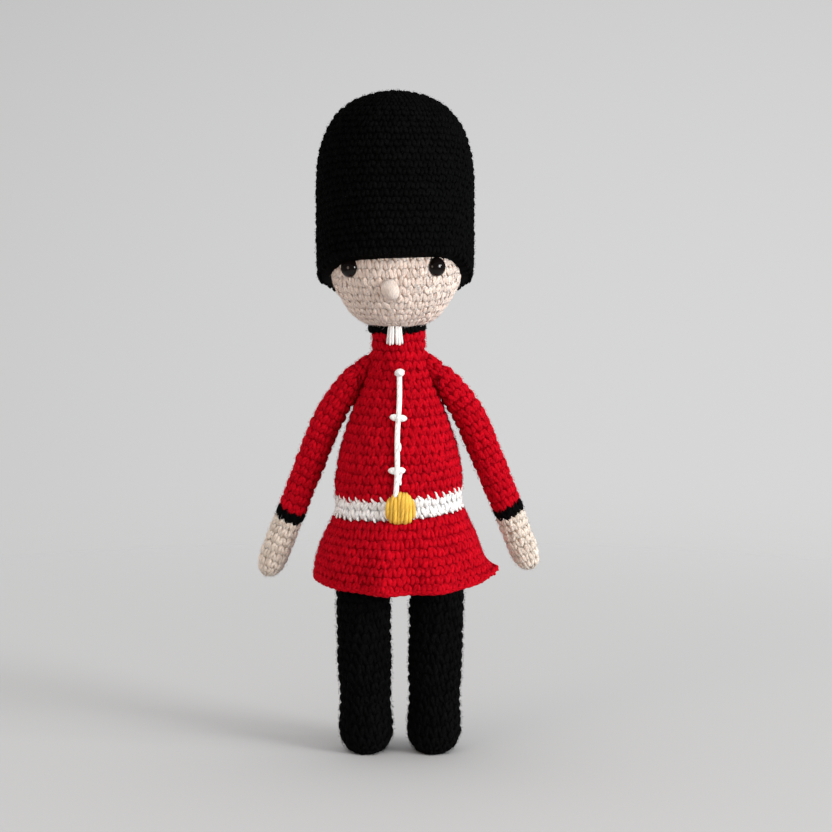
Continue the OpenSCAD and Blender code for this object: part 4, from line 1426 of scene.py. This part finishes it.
class GUARD_OT_head(bpy.types.Operator):
    """Crocheted head over its filling, worked upwards from the collar, and the yarn nose"""
    bl_idname = "guard.head"
    bl_label = "Head and nose"

    def execute(self, context):
        s, sew = sizes(), stitching()
        place, rows = head_place(), 11
        face = lay_rounds(place, rows, rise=1.0, phase=0.4, depth=0.62, reach=1.06, full=1.12,
                          width=FINE_STITCH, first=1)
        chin = lay_rounds(place, rows, depth=1.15, reach=1.5, width=FINE_STITCH,
                          keep=lambda a, t, p: t < 1 / rows)
        grid = backing_of(place, sew.backing / MM * 0.75, around=64, along=32)
        piece = crochet("head_stitches", merged(face, chin), skin_mesh("head", grid), skin_yarn())
        settle(piece, "torso", "skin_yarn", ("head_cover", "head_filling"))

        middle = np.array([-3.35, -29.2, s.head_z / MM - 6.2])
        lean = math.radians(24)
        half_wide, half_tall, deep, thick = 3.3, 4.2, 3.3, 0.8
        strands = Strands(sides=8)
        chance = np.random.default_rng(sew.seed + 3)
        count = 12
        for k in range(count):
            x = (k - (count - 1) / 2) / (count / 2)
            line = []
            for q in np.linspace(-1, 1, 15):
                angle = q * math.pi / 2
                wide = half_wide * (1 - 0.35 * max(0, -q) ** 1.3)
                across = x * wide * math.cos(angle * 0.62)
                up = half_tall * math.sin(angle) * (1 - 0.2 * x * x)
                bulge = deep * (1 - 0.6 * x * x) * max(0, math.cos(angle)) ** 0.7
                line.append(middle + (across * math.cos(lean) - up * math.sin(lean), 0.6 - bulge,
                                      up * math.cos(lean) + across * math.sin(lean)))
            strands.tube(line, thick + chance.normal(0, 0.02), any_tile(chance), steps=7)
        strung("nose_strands", strands, skin_satin(), "skin_yarn", ("nose",))
        return {"FINISHED"}


class GUARD_OT_eyes(bpy.types.Operator):
    """Glossy plastic domes of the eyes, and the moulded washers behind them"""
    bl_idname = "guard.eyes"
    bl_label = "Eyes"

    def execute(self, context):
        s = sizes()
        gloss = plastic("Eye plastic", colours().eye, rough=0.05, vary=0.03, grain=180.0, gleam=0.22)
        white = plastic("Washer plastic", from_screen(228, 227, 222), rough=0.45, vary=0.1, grain=300.0)
        eye_r, dome_h, dome_foot, top, bottom = 4.3, 3.6, 0.3, 3.9, -1.1
        outline = [(0.0, top)]
        for q in np.radians(np.linspace(84, 0, 15)):
            outline.append((eye_r * math.cos(q) ** 0.95, dome_foot + dome_h * math.sin(q)))
        outline += [(eye_r, bottom + 0.2), (eye_r - 0.5, bottom), (0.0, bottom)]
        for side, turn, lift in (("left", math.radians(38.2), 0.121), ("right", math.radians(-44.8), 0.1)):
            dress(frame["nodes"][side + "_eye_washer"], white)
            flat = math.sqrt(1 - lift * lift)
            out = np.array([math.sin(turn) * flat, -math.cos(turn) * flat, lift])
            across = np.cross(UP, out)
            across /= np.linalg.norm(across)
            up = np.cross(out, across)
            middle = HEAD_SHIFT + (0, 0, s.head_z / MM) + out * (s.head_r / MM - 0.5)
            n, points = 40, []
            for r, z in outline:
                for q in np.arange(n if r else 1) * TAU / n:
                    p = middle + out * z + r * (math.cos(q) * across + math.sin(q) * up)
                    points.append(tuple(p * MM))
            faces = [(0, 1 + k, 1 + (k + 1) % n) for k in range(n)]
            for row in range(len(outline) - 3):
                at = 1 + row * n
                faces += [(at + k, at + n + k, at + n + (k + 1) % n, at + (k + 1) % n) for k in range(n)]
            last = len(points) - 1
            faces += [(last, last - n + (k + 1) % n, last - n + k) for k in range(n)]
            mesh = bpy.data.meshes.new(side + "_eye_dome")
            mesh.from_pydata(points, [], faces)
            mesh.shade_smooth()
            mesh.materials.append(gloss)
            dome = bpy.data.objects.new(side + "_eye_dome", mesh)
            context.scene.collection.objects.link(dome)
            settle(dome, "torso", "eye_black", (side + "_eye",))
        return {"FINISHED"}


class GUARD_OT_hat(bpy.types.Operator):
    """Tall black hat worked down from its crown to the slanting rim, over its filling"""
    bl_idname = "guard.hat"
    bl_label = "Hat"

    def execute(self, context):
        place = hat_place()
        rounds = lay_rounds(place, rows=29, rise=1.0, outward=-1)
        grid = backing_of(place, stitching().backing / MM, around=72, along=60, outward=-1, start=0.004)
        piece = crochet("hat_stitches", rounds, skin_mesh("hat", grid, turn=-1), black_yarn(), fuzz=6)
        settle(piece, "torso", "black_yarn", ("hat_cover", "hat_filling"))
        return {"FINISHED"}


class GUARD_OT_arms(bpy.types.Operator):
    """Arms with red sleeves, black cuffs and cream hands, and the yarn that sews each arm on"""
    bl_idname = "guard.arms"
    bl_label = "Arms"

    def execute(self, context):
        _, run = arm_path()
        inset, tall = stitching().backing / MM * 0.8, stitching().height / MM
        hand_end, cuff_end = run[HAND_STEPS - 1], run[HAND_STEPS + CUFF_STEPS - 1]
        for name, side in SIDES:
            for part, low, high, material, slot, nodes in (
                    ("hand", 0.0, hand_end, cream_yarn(), "skin_yarn", ("hand",)),
                    ("cuff", hand_end, cuff_end, black_yarn(), "black_yarn", ("cuff",)),
                    ("sleeve", cuff_end, run[-1], red_yarn(), "red_yarn", ("sleeve", "arm_filling"))):
                hand, cuff, sleeve = (part == kind for kind in ("hand", "cuff", "sleeve"))
                place = arm_place(side, low, high)
                rows = max(1, round((high - low) / tall))
                keep = (lambda a, t, p: coat_room(p) > 0.0) if sleeve else None
                rounds = lay_rounds(place, rows, rise=0.0 if cuff else 0.6, outward=side, keep=keep,
                                    width=FINE_STITCH if hand else SLEEVE_STITCH,
                                    reach=1.55 if cuff else 1.0)
                grid = backing_of(place, inset, around=24, along=max(4, rows * 2), outward=side,
                                  start=0.004 if hand else 0.0, end=0.996 if sleeve else 1.0,
                                  squeeze=clear_of_coat)
                piece = crochet("%s_%s_stitches" % (name, part), rounds, skin_mesh(part, grid, turn=side),
                                material, squeeze=clear_of_coat)
                settle(piece, name + "_arm", slot, ["%s_%s" % (name, node) for node in nodes])
            low, high = (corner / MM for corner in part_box(name + "_sewing_yarn"))
            middle = (low + high) / 2
            strands = Strands(sides=8)
            share = np.linspace(-1, 1, 17)
            line = [(x, middle.y, middle.z) for x in np.linspace(low.x, high.x, len(share))]
            knotted = 0.72 + 0.8 * np.abs(share) ** 14
            strands.tube(line, knotted, 12, up=(0.3, -1.0, 0.2))
            strung(name + "_sewing_strand", strands, red_yarn(), "red_yarn", (name + "_sewing_yarn",))
        return {"FINISHED"}


# Panel and registration

class GUARD_PT_panel(bpy.types.Panel):
    """Sizes, colours and pieces of the guard doll"""
    bl_idname = "GUARD_PT_panel"
    bl_label = "Crocheted guard doll"
    bl_space_type = "VIEW_3D"
    bl_region_type = "UI"
    bl_category = "Guard"

    def draw(self, context):
        for group in (colours(), stitching(), sizes()):
            box = self.layout.box()
            for name in group.bl_rna.properties.keys():
                if name not in ("rna_type", "name"):
                    box.prop(group, name)
        for kind in PIECES:
            self.layout.operator(kind.bl_idname)


PIECES = (GUARD_OT_stage, GUARD_OT_legs, GUARD_OT_seat, GUARD_OT_belt, GUARD_OT_skirt, GUARD_OT_buckle,
          GUARD_OT_coat, GUARD_OT_button_cord, GUARD_OT_collar, GUARD_OT_head, GUARD_OT_eyes, GUARD_OT_hat,
          GUARD_OT_arms)
CLASSES = (YarnColours, StitchSizes, FigureSizes, *PIECES, GUARD_PT_panel)


def register():
    for kind in CLASSES:
        bpy.utils.register_class(kind)
    bpy.types.Scene.guard_colours = bpy.props.PointerProperty(type=YarnColours)
    bpy.types.Scene.guard_stitches = bpy.props.PointerProperty(type=StitchSizes)
    bpy.types.Scene.guard_sizes = bpy.props.PointerProperty(type=FigureSizes)


def unregister():
    for name in ("guard_colours", "guard_stitches", "guard_sizes"):
        delattr(bpy.types.Scene, name)
    for kind in reversed(CLASSES):
        bpy.utils.unregister_class(kind)


def main():
    register()
    for kind in PIECES:
        group, name = kind.bl_idname.split(".")
        getattr(getattr(bpy.ops, group), name)()


if __name__ == "__main__":
    main()
